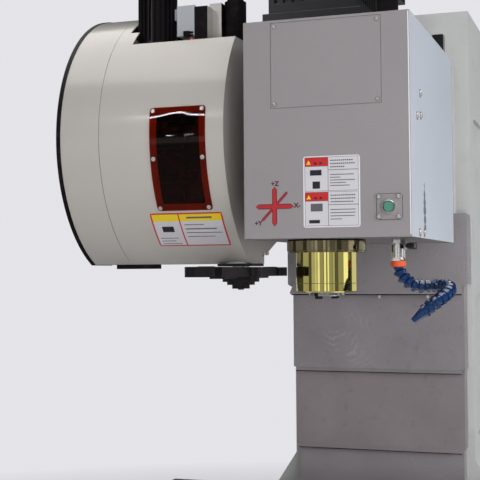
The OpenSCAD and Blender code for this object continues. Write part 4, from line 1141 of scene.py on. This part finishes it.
    def build_placard(self) -> None:
        """Put a two-part instruction plate without words on the front."""
        x = self.axis_x + self.placard_x
        z = self.low.z + self.placard_up
        face = self.front - self.film
        left = x - self.placard_w / 2 + self.placard_margin
        board = plate(rectangle(self.placard_w, self.placard_h), (x, self.front, z), self.film, self.corner)
        self.piece(board, "placard", "head", Finishes.WHITE)
        layers = {layer: Form() for layer in Layer}
        signs = Form()
        for part in self.prints:
            foot = z + part.low * MM
            for layer, x0, x1, z0, z1 in part.patches():
                back = face - self.layer_step * layer.order
                layers[layer].block(
                    (left + x0 * MM, back, foot + z0 * MM),
                    (left + x1 * MM, back + 2 * self.layer_step, foot + z1 * MM),
                )
            points = [(left + px * MM, face - 3.2 * self.layer_step, foot + pz * MM) for px, pz in part.sign]
            signs.bm.faces.new([signs.bm.verts.new(point) for point in points])
        for layer, form in layers.items():
            self.piece(form, "placard_" + layer.label, "head", layer.finish)
        self.piece(signs, "placard_fields", "head", Finishes.YELLOW)

    def build_panel(self) -> None:
        """Screw the access panel on, and draw its seam and a painted highlight strip on the fold at the
        front's right edge.
        """
        low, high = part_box("access_panel")
        seats = corner_seats(low, high, self.panel_inset)
        self.screws("panel_screws", "head", seats, Axis.FRONT, *self.panel_screw)
        near, far = self.front - self.seam_out, self.front + self.seam_in
        line = self.seam_line
        seam = Form()
        for x in (low.x - line, high.x):
            seam.block((x, near, low.z - line), (x + line, far, high.z + line))
        for z in (low.z - line, high.z):
            seam.block((low.x, near, z), (high.x, far, z + line))
        self.piece(seam, "access_panel_seam", "head", Finishes.SEAM_AND_SHADE)
        # A flat bright strip paints the highlight where the sheet folds round the right edge.
        fold = Form().block(
            (self.high.x - self.fold[0], near, self.low.z + self.fold_ends[0]),
            (self.high.x - self.fold[1], far, self.high.z - self.fold_ends[1]),
        )
        self.piece(fold, "front_edge", "head", Finishes.EDGE)

    def build_button(self) -> None:
        """Draw the button plate's seam, ring the button and screw the plate on."""
        low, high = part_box("button_plate")
        middle = (low + high) / 2
        outline = rectangle(high.x - low.x + 2 * self.button_seam, high.z - low.z + 2 * self.button_seam)
        seam = plate(outline, (middle.x, self.front, middle.z), 0.4 * MM, self.corner)
        self.piece(seam, "button_plate_seam", "head", Finishes.SEAM_AND_SHADE)
        button_low, button_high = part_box("push_button")
        centre = (button_low + button_high) / 2
        ring = Form().collar(Vector((centre.x, low.y, centre.z)), *self.button_ring)
        self.piece(ring, "button_ring", "head", Finishes.STEEL)
        seats = corner_seats(low, high, self.button_inset)
        self.screws("button_screws", "head", seats, Axis.FRONT, *self.button_screw)

    def build_side(self) -> None:
        """Screw the right side on and lay the long dark streak near its lower end, a painted reflection."""
        seats = [(self.high.x, self.front + y * MM, self.low.z + z * MM) for y, z in self.side_seats]
        self.screws("side_screws", "head", seats, Axis.RIGHT, *self.side_screw)
        # The streak paints a dark blurred reflection on the side panel.
        rows = []
        for down, half in self.streak:
            sway = self.streak_sway * math.sin(down * self.streak_wave)
            middle = self.streak_y + self.streak_lean * down + sway
            x, z = self.high.x + self.streak_lift, self.low.z + (self.streak_up - down) * MM
            rows.append([Vector((x, self.front + (middle + side * half) * MM, z)) for side in (-1, 1)])
        self.piece(Form().ribbon(rows, Axis.RIGHT.value), "side_marks", "head", Finishes.DARK_REFLECTION)


@dataclass
class SpindleNose(Assembly):
    """Spindle flange, gold nose, turning shaft, keys and draw bar."""

    bolt_r: float = 4.25 * MM
    bolt_ring: float = 59.5 * MM
    bolt_seat: float = 6 * MM
    dark_strip: float = 3.6 * MM

    def build(self) -> None:
        """Dress the nose and set its bolts."""
        _, flange_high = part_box("spindle_flange")

        def rim_or_gap(face: bmesh.types.BMFace) -> Finish:
            """The set-back strip under the head lies in the dark; it is painted black as painted shade."""
            in_gap = face.calc_center_median().z > flange_high.z - self.dark_strip
            return Finishes.RUBBER_AND_SHADE if in_gap else Finishes.FLANGE

        self.refined("spindle_flange", Finishes.FLANGE, 0.8 * MM, 30, rim_or_gap)
        self.refined("spindle_housing", Finishes.GOLD, 0.4 * MM, 30)
        self.refined("nose_cap", Finishes.GOLD, 0.4 * MM, 30)
        self.refined("spindle_shaft", Finishes.STEEL, 0.4 * MM, 30)
        self.refined("drive_keys", Finishes.BLACK_PLASTIC, 0.6 * MM)
        self.node("drawbar", Finishes.STEEL)
        low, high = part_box("nose_cap")
        centre = (low + high) / 2
        places = []
        for angle in range(30, 360, 60):
            x = centre.x + self.bolt_ring * math.cos(math.radians(angle))
            y = centre.y + self.bolt_ring * math.sin(math.radians(angle))
            places.append((x, y, low.z + self.bolt_seat))
        self.screws("cap_screws", "head", places, Axis.DOWN, self.bolt_r)


@dataclass
class CoolantLine(Assembly):
    """Valve, lever, collar and modular hose."""

    def build(self) -> None:
        """Dress the coolant line's nodes."""
        self.refined("coolant_valve", Finishes.CHROME, 0.6 * MM)
        self.refined("valve_lever", Finishes.BLACK_PLASTIC, 1.2 * MM)
        self.refined("hose_collar", Finishes.ORANGE, 0.6 * MM)
        self.refined("coolant_hose", Finishes.BLUE, 0.7 * MM, 32)


@dataclass
class Magazine(Assembly):
    """Tool magazine: shell, trim, window, plate, disc and pots."""

    pane_screw: float = 5.5 * MM
    pane_inset: float = 9 * MM
    pane_lift: float = 3 * MM
    film: float = 0.4 * MM
    print_lift: float = 0.15 * MM
    label_from: float = 224 * MM
    label_to: float = 26.5 * MM
    label_low: float = -49.9
    label_high: float = -32.9
    label_split: float = 0.385
    label_corner: float = 7
    label_edge: float = 4
    header: float = 21
    gutter: float = 3.4
    notes: tuple[int, ...] = (50, 40, 54)
    note_step: float = 10
    note_high: float = 2.4
    text_rows: tuple[tuple[float, float], ...] = ((52, 2.4), (20, 3.4), (8, 2.4), (30, 2.2))
    text_step: float = 13
    seam_x: float = 121 * MM
    seam_width: float = 1.2 * MM
    seam_turn: tuple[float, float] = (-60, 58)
    seam_lift: float = 0.15 * MM
    plug_deep: float = 7.5 * MM
    plug_ring: Point = (-3 * MM, 2 * MM, -9 * MM)
    stud_from_axis: tuple[float, float] = (-34 * MM, -302 * MM)
    centre: Vector = field(init=False)
    radius: float = field(init=False)

    def build(self) -> None:
        """Dress the magazine and add its window screws and its plate."""
        low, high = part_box("magazine_cover")
        disc_low, disc_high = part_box("magazine_disc")
        box_low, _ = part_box("junction_box")
        self.centre = (disc_low + disc_high) / 2
        self.radius = self.centre.y - low.y

        def outside_or_painted_shade(face: bmesh.types.BMFace) -> Finish:
            """The shell is painted dark inside, as painted shade.

            Args:
                face: A face of the shell.

            Returns:
                The painted shade between the two ends where a face looks towards the axis, else the paint.
            """
            # The end walls keep the paint, and so do the folds that stand on them.
            middle = face.calc_center_median()
            outward = Vector((0, middle.y - self.centre.y, middle.z - self.centre.z)).dot(face.normal)
            within = low.x + 8 * MM < middle.x < high.x - 1 * MM
            inside = within and outward < -10 * MM and abs(face.normal.x) < 0.5
            return Finishes.INSIDE_SHADE if inside else Finishes.DRUM

        def box_or_plug(face: bmesh.types.BMFace) -> Finish:
            """The plugs in front of the box are black."""
            in_plug = face.calc_center_median().y < box_low.y + self.plug_deep
            return Finishes.RUBBER_AND_SHADE if in_plug else Finishes.CABINET

        self.refined("magazine_cover", Finishes.DRUM, 1 * MM, 25, outside_or_painted_shade)
        self.refined("cover_trim", Finishes.RUBBER_AND_SHADE, 0.5 * MM, 25)
        self.refined("window_pane", Finishes.AMBER, 0.5 * MM, 25)
        self.refined("magazine_disc", Finishes.VIOLET, 1 * MM)
        self.refined("tool_pots", Finishes.BLACK, 1 * MM)
        self.refined("change_pot", Finishes.BLACK, 1 * MM)
        self.node("magazine_motor", Finishes.BLACK)
        self.node("magazine_bracket", Finishes.CASTING)
        self.refined("junction_box", Finishes.CABINET, 1 * MM, dress=box_or_plug)
        self.refined("arm_motor", Finishes.BLACK, 1 * MM)
        self.build_window_screws()
        self.build_label(high.x - self.label_from, high.x - self.label_to)
        seam = low.x + self.seam_x
        ends = (seam, seam + self.seam_width)
        self.curved("cover_seam", *ends, *self.seam_turn, self.seam_lift, Finishes.SEAM_AND_SHADE)
        self.build_end_details(high.x)

    def on_drum(self, x: float, angle: float, lift: float = 0.0) -> Vector:
        """Point on the drum's surface.

        Args:
            x: Place along the drum.
            angle: Degrees above the level of its axis, on the front.
            lift: Height above the surface.

        Returns:
            The point.
        """
        turn = math.radians(angle)
        reach = self.radius + lift
        return Vector((x, self.centre.y - reach * math.cos(turn), self.centre.z + reach * math.sin(turn)))

    def build_window_screws(self) -> None:
        """Set six pan screws through the window's margin."""
        low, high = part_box("window_pane")
        inset = self.pane_inset
        form = Form()
        for x in (low.x + inset, high.x - inset):
            for z in (low.z + inset, (low.z + high.z) / 2, high.z - inset):
                angle = math.degrees(math.asin((z - self.centre.z) / self.radius))
                at = self.on_drum(x, angle, self.pane_lift)
                outward = at - Vector((x, self.centre.y, self.centre.z))
                form.disc(at, outward, self.pane_screw, 3.4 * MM, 1.2 * MM, 20, 0.45)
        self.piece(form, "window_screws", "machine", Finishes.SCREW)

    def curved(
        self, name: str, left: float, right: float, low: float, high: float, lift: float, finish: Finish
    ) -> None:
        """Put a thin curved field on the drum.

        Args:
            name: Name of the piece.
            left: Its left end.
            right: Its right end.
            low: Its lower edge in degrees.
            high: Its upper edge in degrees.
            lift: Height of its face above the drum.
            finish: Its finish.
        """
        form = Form()
        ends = [form.bm.verts.new(self.on_drum(x, low, lift)) for x in (left, right)]
        edge = form.bm.edges.new(ends)
        bmesh.ops.spin(
            form.bm,
            geom=[*ends, edge],
            cent=(0, self.centre.y, self.centre.z),
            axis=(1, 0, 0),
            angle=-math.radians(high - low),
            steps=max(8, int(high - low)),
        )
        form.turned_to(self.on_drum(0, (low + high) / 2) - Vector((0, self.centre.y, self.centre.z)))
        self.piece(form, name, "machine", finish, 60)

    def build_label(self, left: float, right: float) -> None:
        """Lay a wordless instruction plate on the drum below the window.

        Args:
            left: Left end of the plate.
            right: Its right end.
        """
        low, high = self.label_low, self.label_high
        deg = math.degrees(MM / self.radius)
        split = left + (right - left) * self.label_split

        def printed(
            part: str, x0: float, x1: float, a0: float, a1: float, level: int, finish: Finish
        ) -> None:
            """One field of the plate, on a level of print."""
            self.curved("drum_plate" + part, x0, x1, a0, a1, self.film + level * self.print_lift, finish)

        red = Finishes.FIELD_RED
        corner = self.label_corner
        for part, start in (("_left", left), ("_right", right - corner * MM)):
            printed(part, start, start + corner * MM, low + corner * deg, high - corner * deg, 0, red)
        for step, (side, end) in enumerate(((2.4, 3.8), (0.8, 0.6))):
            x0, x1 = left + side * MM, right - side * MM
            printed(f"_edge_{step + 1}", x0, x1, low + end * deg, high - end * deg, 0, red)
        printed("", left + corner * MM, right - corner * MM, low, high, 0, red)
        edge = self.label_edge
        top, foot = high - edge * deg, low + edge * deg
        head = top - self.header * deg
        second = split + self.gutter * MM
        for side, x0, x1 in (("a", left + edge * MM, split), ("b", second, right - edge * MM)):
            printed("_header_" + side, x0, x1, head, top, 1, Finishes.YELLOW)
            printed("_field_" + side, x0, x1, foot, head, 1, Finishes.SHEET_WHITE)
        for row, (end, height) in enumerate(self.text_rows):
            at = head - (10 + self.text_step * row) * deg
            x0, x1 = split + 12 * MM, right - (end + edge) * MM
            printed(f"_text_{row + 1}", x0, x1, at - height * deg, at, 2, Finishes.INK)
        for row, length in enumerate(self.notes):
            at = foot + (27 - self.note_step * row) * deg
            x0 = left + 11 * MM
            printed(f"_note_{row + 1}", x0, x0 + length * MM, at - self.note_high * deg, at, 2, Finishes.INK)
        black, grey = Finishes.BLACK_INK, Finishes.INK
        printed("_sign", left + 24 * MM, left + 56 * MM, head - 34 * deg, head - 16 * deg, 2, black)
        printed("_title", split + 22 * MM, right - 30 * MM, head + 8 * deg, head + 13 * deg, 2, grey)

    def build_end_details(self, end: float) -> None:
        """Set the stud on the drum's right end and the ring on the junction box's plug.

        Args:
            end: Place of the drum's right end.
        """
        y, z = self.stud_from_axis
        at = Vector((end, self.centre.y + y, self.centre.z + z))
        stud = Form().disc(at, Axis.RIGHT.value, 5 * MM, 7 * MM, 1 * MM, 16)
        self.piece(stud, "cover_stud", "machine", Finishes.SCREW)
        low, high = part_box("junction_box")
        at = Vector((high.x, low.y, low.z)) + Vector(self.plug_ring)
        ring = Form().disc(at, Axis.FRONT.value, 4.5 * MM, 7 * MM, 1 * MM, 16)
        self.piece(ring, "plug_ring", "machine", Finishes.ORANGE)


@dataclass
class ChangeArm(Assembly):
    """Tool change arm with its drive."""

    plate_deep: float = 12.5 * MM
    plate_from: float = -104 * MM
    post_x: tuple[float, float] = (-113.5 * MM, -77.5 * MM)
    post_y: tuple[float, float] = (35 * MM, 93 * MM)

    def build(self) -> None:
        """Dress the arm's nodes."""
        cam_low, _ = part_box("cam_box")
        motor_low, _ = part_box("arm_motor")
        cover_low, cover_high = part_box("magazine_cover")

        def by_place(face: bmesh.types.BMFace) -> Finish:
            """The lower flange and what stands on top is black, the post is beige.

            Args:
                face: A face of the cam box.

            Returns:
                The finish at its place.
            """
            at = face.calc_center_median()
            x, y, up = at.x - cover_high.x, at.y - cam_low.y, at.z - motor_low.z
            if at.z < cover_low.z + 1 * MM:
                return Finishes.BLACK
            if up > -self.plate_deep and (up > 0.5 * MM or x < self.plate_from):
                in_post = self.post_x[0] < x < self.post_x[1] and self.post_y[0] < y < self.post_y[1]
                return Finishes.DRUM if in_post and up > 0 else Finishes.RUBBER_AND_SHADE
            return Finishes.CASTING

        self.refined("change_arm", Finishes.BLACK, 1 * MM)
        self.refined("cam_box", Finishes.CASTING, 1.2 * MM, dress=by_place)
        self.node("drive_sleeve", Finishes.STEEL)
        self.node("arm_shaft", Finishes.RAIL)


@dataclass
class WayCovers(Assembly):
    """Telescopic covers of the three axes."""

    plain: tuple[str, ...] = (
        "z_cover_1", "fixed_covers", "saddle_covers", "y_cover_mid", "table_covers", "x_cover_mid",
    )
    bevel: float = 0.6 * MM
    bolts_x: tuple[float, ...] = (13 * MM, 154 * MM)
    bolt_back: float = 8.5 * MM
    washer: tuple[float, float] = (5.2 * MM, 2.5 * MM)
    bolt: tuple[float, float] = (4.6 * MM, 9 * MM)
    # Black wiper under each stage's lip, also standing for the shade line there: stage, side inset, depth and
    # height in millimetres.
    wipers: tuple[tuple[str, float, float, float], ...] = (
        ("z_cover_1", 16, 3, 3.2),
        ("z_cover_2", 9, 4, 2),
        ("z_cover_3", 9, 4, 2),
    )

    def build(self) -> None:
        """Dress the covers and set the first lip's bolts and the black wipers, which also paint the shade
        line under each lip.
        """
        for name in self.plain:
            self.refined(name, Finishes.COVER, self.bevel, 30)
        self.refined("z_cover_3", Finishes.DULL, self.bevel, 30)
        self.refined("z_cover_2", Finishes.WIPED, self.bevel, 30)
        low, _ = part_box("z_cover_1")
        bolts = Form()
        down = Axis.DOWN.value
        for x in self.bolts_x:
            at = Vector((x, low.y + self.bolt_back, low.z))
            bolts.disc(at, down, *self.washer, 0.3 * MM)
            bolts.disc(at + down * self.washer[1], down, *self.bolt, 1 * MM)
        self.piece(bolts, "z_cover_1_bolts", self.body_of("z_cover_1"), Finishes.SCREW)
        # Each wiper is a black rubber strip that also paints the dark shade line under the lip.
        for stage, side, back, height in self.wipers:
            low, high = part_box(stage)
            wiper = Form().block(
                (low.x + side * MM, low.y + 1 * MM, low.z - height * MM),
                (high.x - side * MM, low.y + back * MM, low.z + 0.3 * MM),
                0.5 * MM,
            )
            self.piece(wiper, stage + "_wiper", self.body_of(stage), Finishes.RUBBER_AND_SHADE)

    @staticmethod
    def body_of(node: str) -> str:
        """Body that a node moves with."""
        return bpy.data.objects[node]["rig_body"]


@dataclass
class Frame(Assembly):
    """Base, column, saddle, table, rails, screws, motors and cabinet."""

    end_gap: float = 0.2 * MM

    def build(self) -> None:
        """Dress the machine's frame."""
        for name in ("base_casting", "column", "saddle"):
            self.refined(name, Finishes.CASTING, 3 * MM)
        for name in ("linear_rails", "x_rails", "y_screw", "x_screw", "z_screw"):
            self.node(name, Finishes.RAIL)
        for name in ("saddle_blocks", "table_blocks", "levelling_feet"):
            self.node(name, Finishes.DARK)
        table = self.refined("table", Finishes.TABLE, 1 * MM)
        half = max(vertex.co.x for vertex in table.data.vertices)
        table.data.transform(Matrix.Scale(1 - self.end_gap / half, 4, (1, 0, 0)))
        self.node("axis_motors", Finishes.BLACK)
        self.node("x_motor", Finishes.BLACK)
        self.refined("cabinet", Finishes.CABINET, 1.5 * MM)
        self.refined("cabinet_door", Finishes.CABINET, 1.5 * MM)
        self.node("control_modules", Finishes.MODULE)
        self.refined("door_handle", Finishes.BLACK_PLASTIC, 3 * MM)


@dataclass(frozen=True)
class SoftBox:
    """A lamp with a lit rectangle that looks at the head, placed from the spindle nose."""

    name: str
    place: Point
    size: tuple[float, float]
    power: float
    colour: Colour = (1, 1, 1)
    target: Point = (0, 0, 0.25)

    def hang(self, nose: Vector) -> None:
        """Hang the lamp.

        Args:
            nose: Place of the spindle nose.
        """
        data = bpy.data.lights.new(self.name, "AREA")
        data.shape = "RECTANGLE"
        data.size, data.size_y = self.size
        data.energy = self.power
        data.color = self.colour
        lamp = stand(self.name, data)
        lamp.visible_glossy = False
        at = nose + Vector(self.place)
        aim = nose + Vector(self.target) - at
        lamp.matrix_world = Matrix.Translation(at) @ facing(aim, "-Z")


@dataclass
class Studio:
    """Floor, backdrop, lamps and the camera at the photo's place."""

    focal_px: float = 1100.0
    frame_px: float = 480.0
    yaw: float = 19.247
    pitch: float = 3.043
    roll: float = -0.374
    from_nose: Point = (0.693, -2.630, 0.051)
    centre_row: float = 213.5
    backdrop: Colour = (0.775, 0.775, 0.81)
    floor_near: float = 3.0
    floor_fade: float = 2.5
    light: float = 0.35
    ceiling: float = 3.0
    ceiling_from: float = 47.0
    dark: float = 0.05
    ground: float = 0.16
    wall_low: float = -1.8
    wall_high: float = 2.6
    room: tuple[tuple[float, float], ...] = (
        (-180, 0.5), (-143, 0.06), (-100, 0.42), (-73, 0.10), (-60, 0.52), (-44, 0.85), (-40, 0.50),
        (-35, 1.15), (-28, 0.38), (-13, 0.20), (-10, 1.2), (-3, 0.3), (2, 1.15), (8, 0.38), (19, 0.30),
        (23, 0.55), (29, 0.12), (43, 0.36), (66, 1.25), (86, 0.06), (107, 0.75), (152, 0.4),
    )
    lamps: tuple[SoftBox, ...] = (
        SoftBox("key", (1.8, -3.5, 1.7), (2.0, 1.8), 15),
        SoftBox("fill", (4.0, -0.9, 0.9), (2.0, 2.4), 62, (0.94, 0.97, 1.0)),
        SoftBox("low", (1.6, -3.6, -0.4), (2.0, 1.0), 52),
        SoftBox("side", (3.2, -2.9, 0.8), (1.6, 1.6), 34),
    )
    pane: Point = (-0.33, -0.10, 0.40)
    tubes: tuple[tuple[float, float, Outline], ...] = (
        (0.037, -2.69, ((-1.68, 1.362), (-1.63, 1.395), (-1.60, 1.42), (-1.55, 1.50), (-1.51, 1.55),
                        (-1.485, 1.56), (-1.46, 1.53), (-1.42, 1.44), (-1.36, 1.40), (-1.32, 1.385))),
        (0.012, -2.88, ((-1.555, 0.60), (-1.515, 0.605))),
        (0.008, -2.88, ((-1.45, 0.59), (-1.40, 0.615))),
    )
    nose: Vector = field(init=False)

    def build(self) -> None:
        """Make the camera, the floor, the world and the lamps."""
        low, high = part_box("nose_cap")
        self.nose = Vector(((low.x + high.x) / 2, (low.y + high.y) / 2, low.z))
        self.build_camera()
        self.build_floor()
        self.build_world()
        for lamp in self.lamps:
            lamp.hang(self.nose)
        self.build_tubes()

    def build_camera(self) -> None:
        """Place the camera where the photo was taken from."""
        data = bpy.data.cameras.new("camera")
        data.sensor_width = 36
        data.lens = self.focal_px / self.frame_px * data.sensor_width
        data.shift_y = (self.centre_row - self.frame_px / 2) / self.frame_px
        data.clip_start, data.clip_end = 0.05, 60
        camera = stand("camera", data)
        yaw, pitch, roll = (math.radians(angle) for angle in (self.yaw, self.pitch, self.roll))
        ahead = Vector((-math.sin(yaw) * math.cos(pitch), math.cos(yaw) * math.cos(pitch), math.sin(pitch)))
        level = Vector((math.cos(yaw), math.sin(yaw), 0))
        above = level.cross(ahead)
        right = level * math.cos(roll) + above * math.sin(roll)
        up = above * math.cos(roll) - level * math.sin(roll)
        turn = Matrix((right, up, -ahead)).transposed()
        camera.matrix_world = Matrix.Translation(self.nose + Vector(self.from_nose)) @ turn.to_4x4()
        bpy.context.scene.camera = camera

    def build_floor(self) -> None:
        """Lay a pale floor that runs into the backdrop's colour away from the machine."""
        form = Form()
        bmesh.ops.create_grid(form.bm, x_segments=2, y_segments=2, size=60)
        shader = Shader("floor")
        shader.set(Base_Color=(0.72, 0.72, 0.73), Roughness=0.6)
        away = shader.add("ShaderNodeVectorMath", {"operation": "LENGTH"}, {0: shader.place}, "Value")
        seen = shader.add("ShaderNodeLightPath", {}, {}, "Is Camera Ray")
        shown = shader.add("ShaderNodeEmission", {}, {"Color": self.backdrop, "Strength": 1.0})
        far = away.rising(self.floor_near, 1 / self.floor_fade)
        shader.show(shader.blend(far * seen, shader.look, shown))
        floor = form.stand("floor", shader.material)
        floor.visible_glossy = False

    def build_world(self) -> None:
        """Light the scene evenly, show a pale backdrop to the camera and a bright and dark room in gloss."""
        world = bpy.data.worlds.new("studio")
        bpy.context.scene.world = world
        world.use_nodes = True
        nodes = Nodes(world.node_tree, "ShaderNodeOutputWorld")

        def even(colour: Wire | Colour, strength: float) -> Wire:
            """Background of one strength."""
            return nodes.add("ShaderNodeBackground", {}, {"Color": colour, "Strength": strength})

        way = nodes.add("ShaderNodeTexCoord", {}, {}, "Generated")
        east, north, height = (nodes.add("ShaderNodeSeparateXYZ", {}, {0: way}, axis) for axis in "XYZ")

        def higher(angle: float, below: Wire, above: Wire) -> Wire:
            """One background below an elevation and another above it."""
            return nodes.blend(height > math.sin(math.radians(angle)), below, above)

        turn = nodes.add("ShaderNodeMath", {"operation": "ARCTAN2"}, {0: north, 1: east})
        start = 1.5 - math.atan2(self.from_nose[1], self.from_nose[0]) / FULL_TURN
        share = nodes.add("ShaderNodeMath", {"operation": "FRACT"}, {0: turn * (1 / FULL_TURN) + start})
        stops = [(0.5 + angle / 360, grey) for angle, grey in self.room]
        walls = even(nodes.add("ShaderNodeValToRGB", {"stops": stops}, {0: share}, "Color"), 1.0)
        white = (1, 1, 1)
        room = higher(self.wall_low, even(white, self.ground), walls)
        room = higher(self.wall_high, room, even(white, self.dark))
        room = higher(self.ceiling_from, room, even((1.0, 0.96, 0.93), self.ceiling))
        gloss = nodes.add("ShaderNodeLightPath", {}, {}, "Is Glossy Ray")
        camera = nodes.add("ShaderNodeLightPath", {}, {}, "Is Camera Ray")
        lit = nodes.blend(gloss, even((0.97, 0.98, 1.0), self.light), room)
        nodes.show(nodes.blend(camera, lit, even(self.backdrop, 1.0)))

    def build_tubes(self) -> None:
        """Hang bent light tubes that show only in gloss, as lines across the window pane."""
        form = Form()
        for half, depth, points in self.tubes:
            rows = []
            for x, z in points:
                middle = Vector((x, depth, z))
                out = (Vector(self.pane) - middle).normalized()
                up = Vector((1, 0, 0)).cross(out).normalized()
                rows.append([self.nose + middle + up * side * half for side in (-1, 1)])
            form.ribbon(rows, Axis.FRONT.value)
        shader = Shader("tube")
        shader.set(Base_Color=(0, 0, 0), Emission_Color=(1.0, 0.95, 0.96), Emission_Strength=40.0)
        tube = form.stand("tube", shader.material)
        for flag in ("camera", "diffuse", "transmission", "shadow", "volume_scatter"):
            setattr(tube, "visible_" + flag, False)


def main() -> None:
    """Build the machine's looks in order."""
    logging.basicConfig(level=logging.INFO, format="%(message)s")
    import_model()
    bpy.context.scene.view_settings.view_transform = "Standard"
    Studio().build()
    finishes = Finishes()
    for group in (Head, SpindleNose, CoolantLine, Magazine, ChangeArm, WayCovers, Frame):
        LOG.info("building %s", group.__name__)
        group(finishes).build()
    bpy.context.view_layer.update()
    LOG.info("size written")


if __name__ == "__main__":
    main()
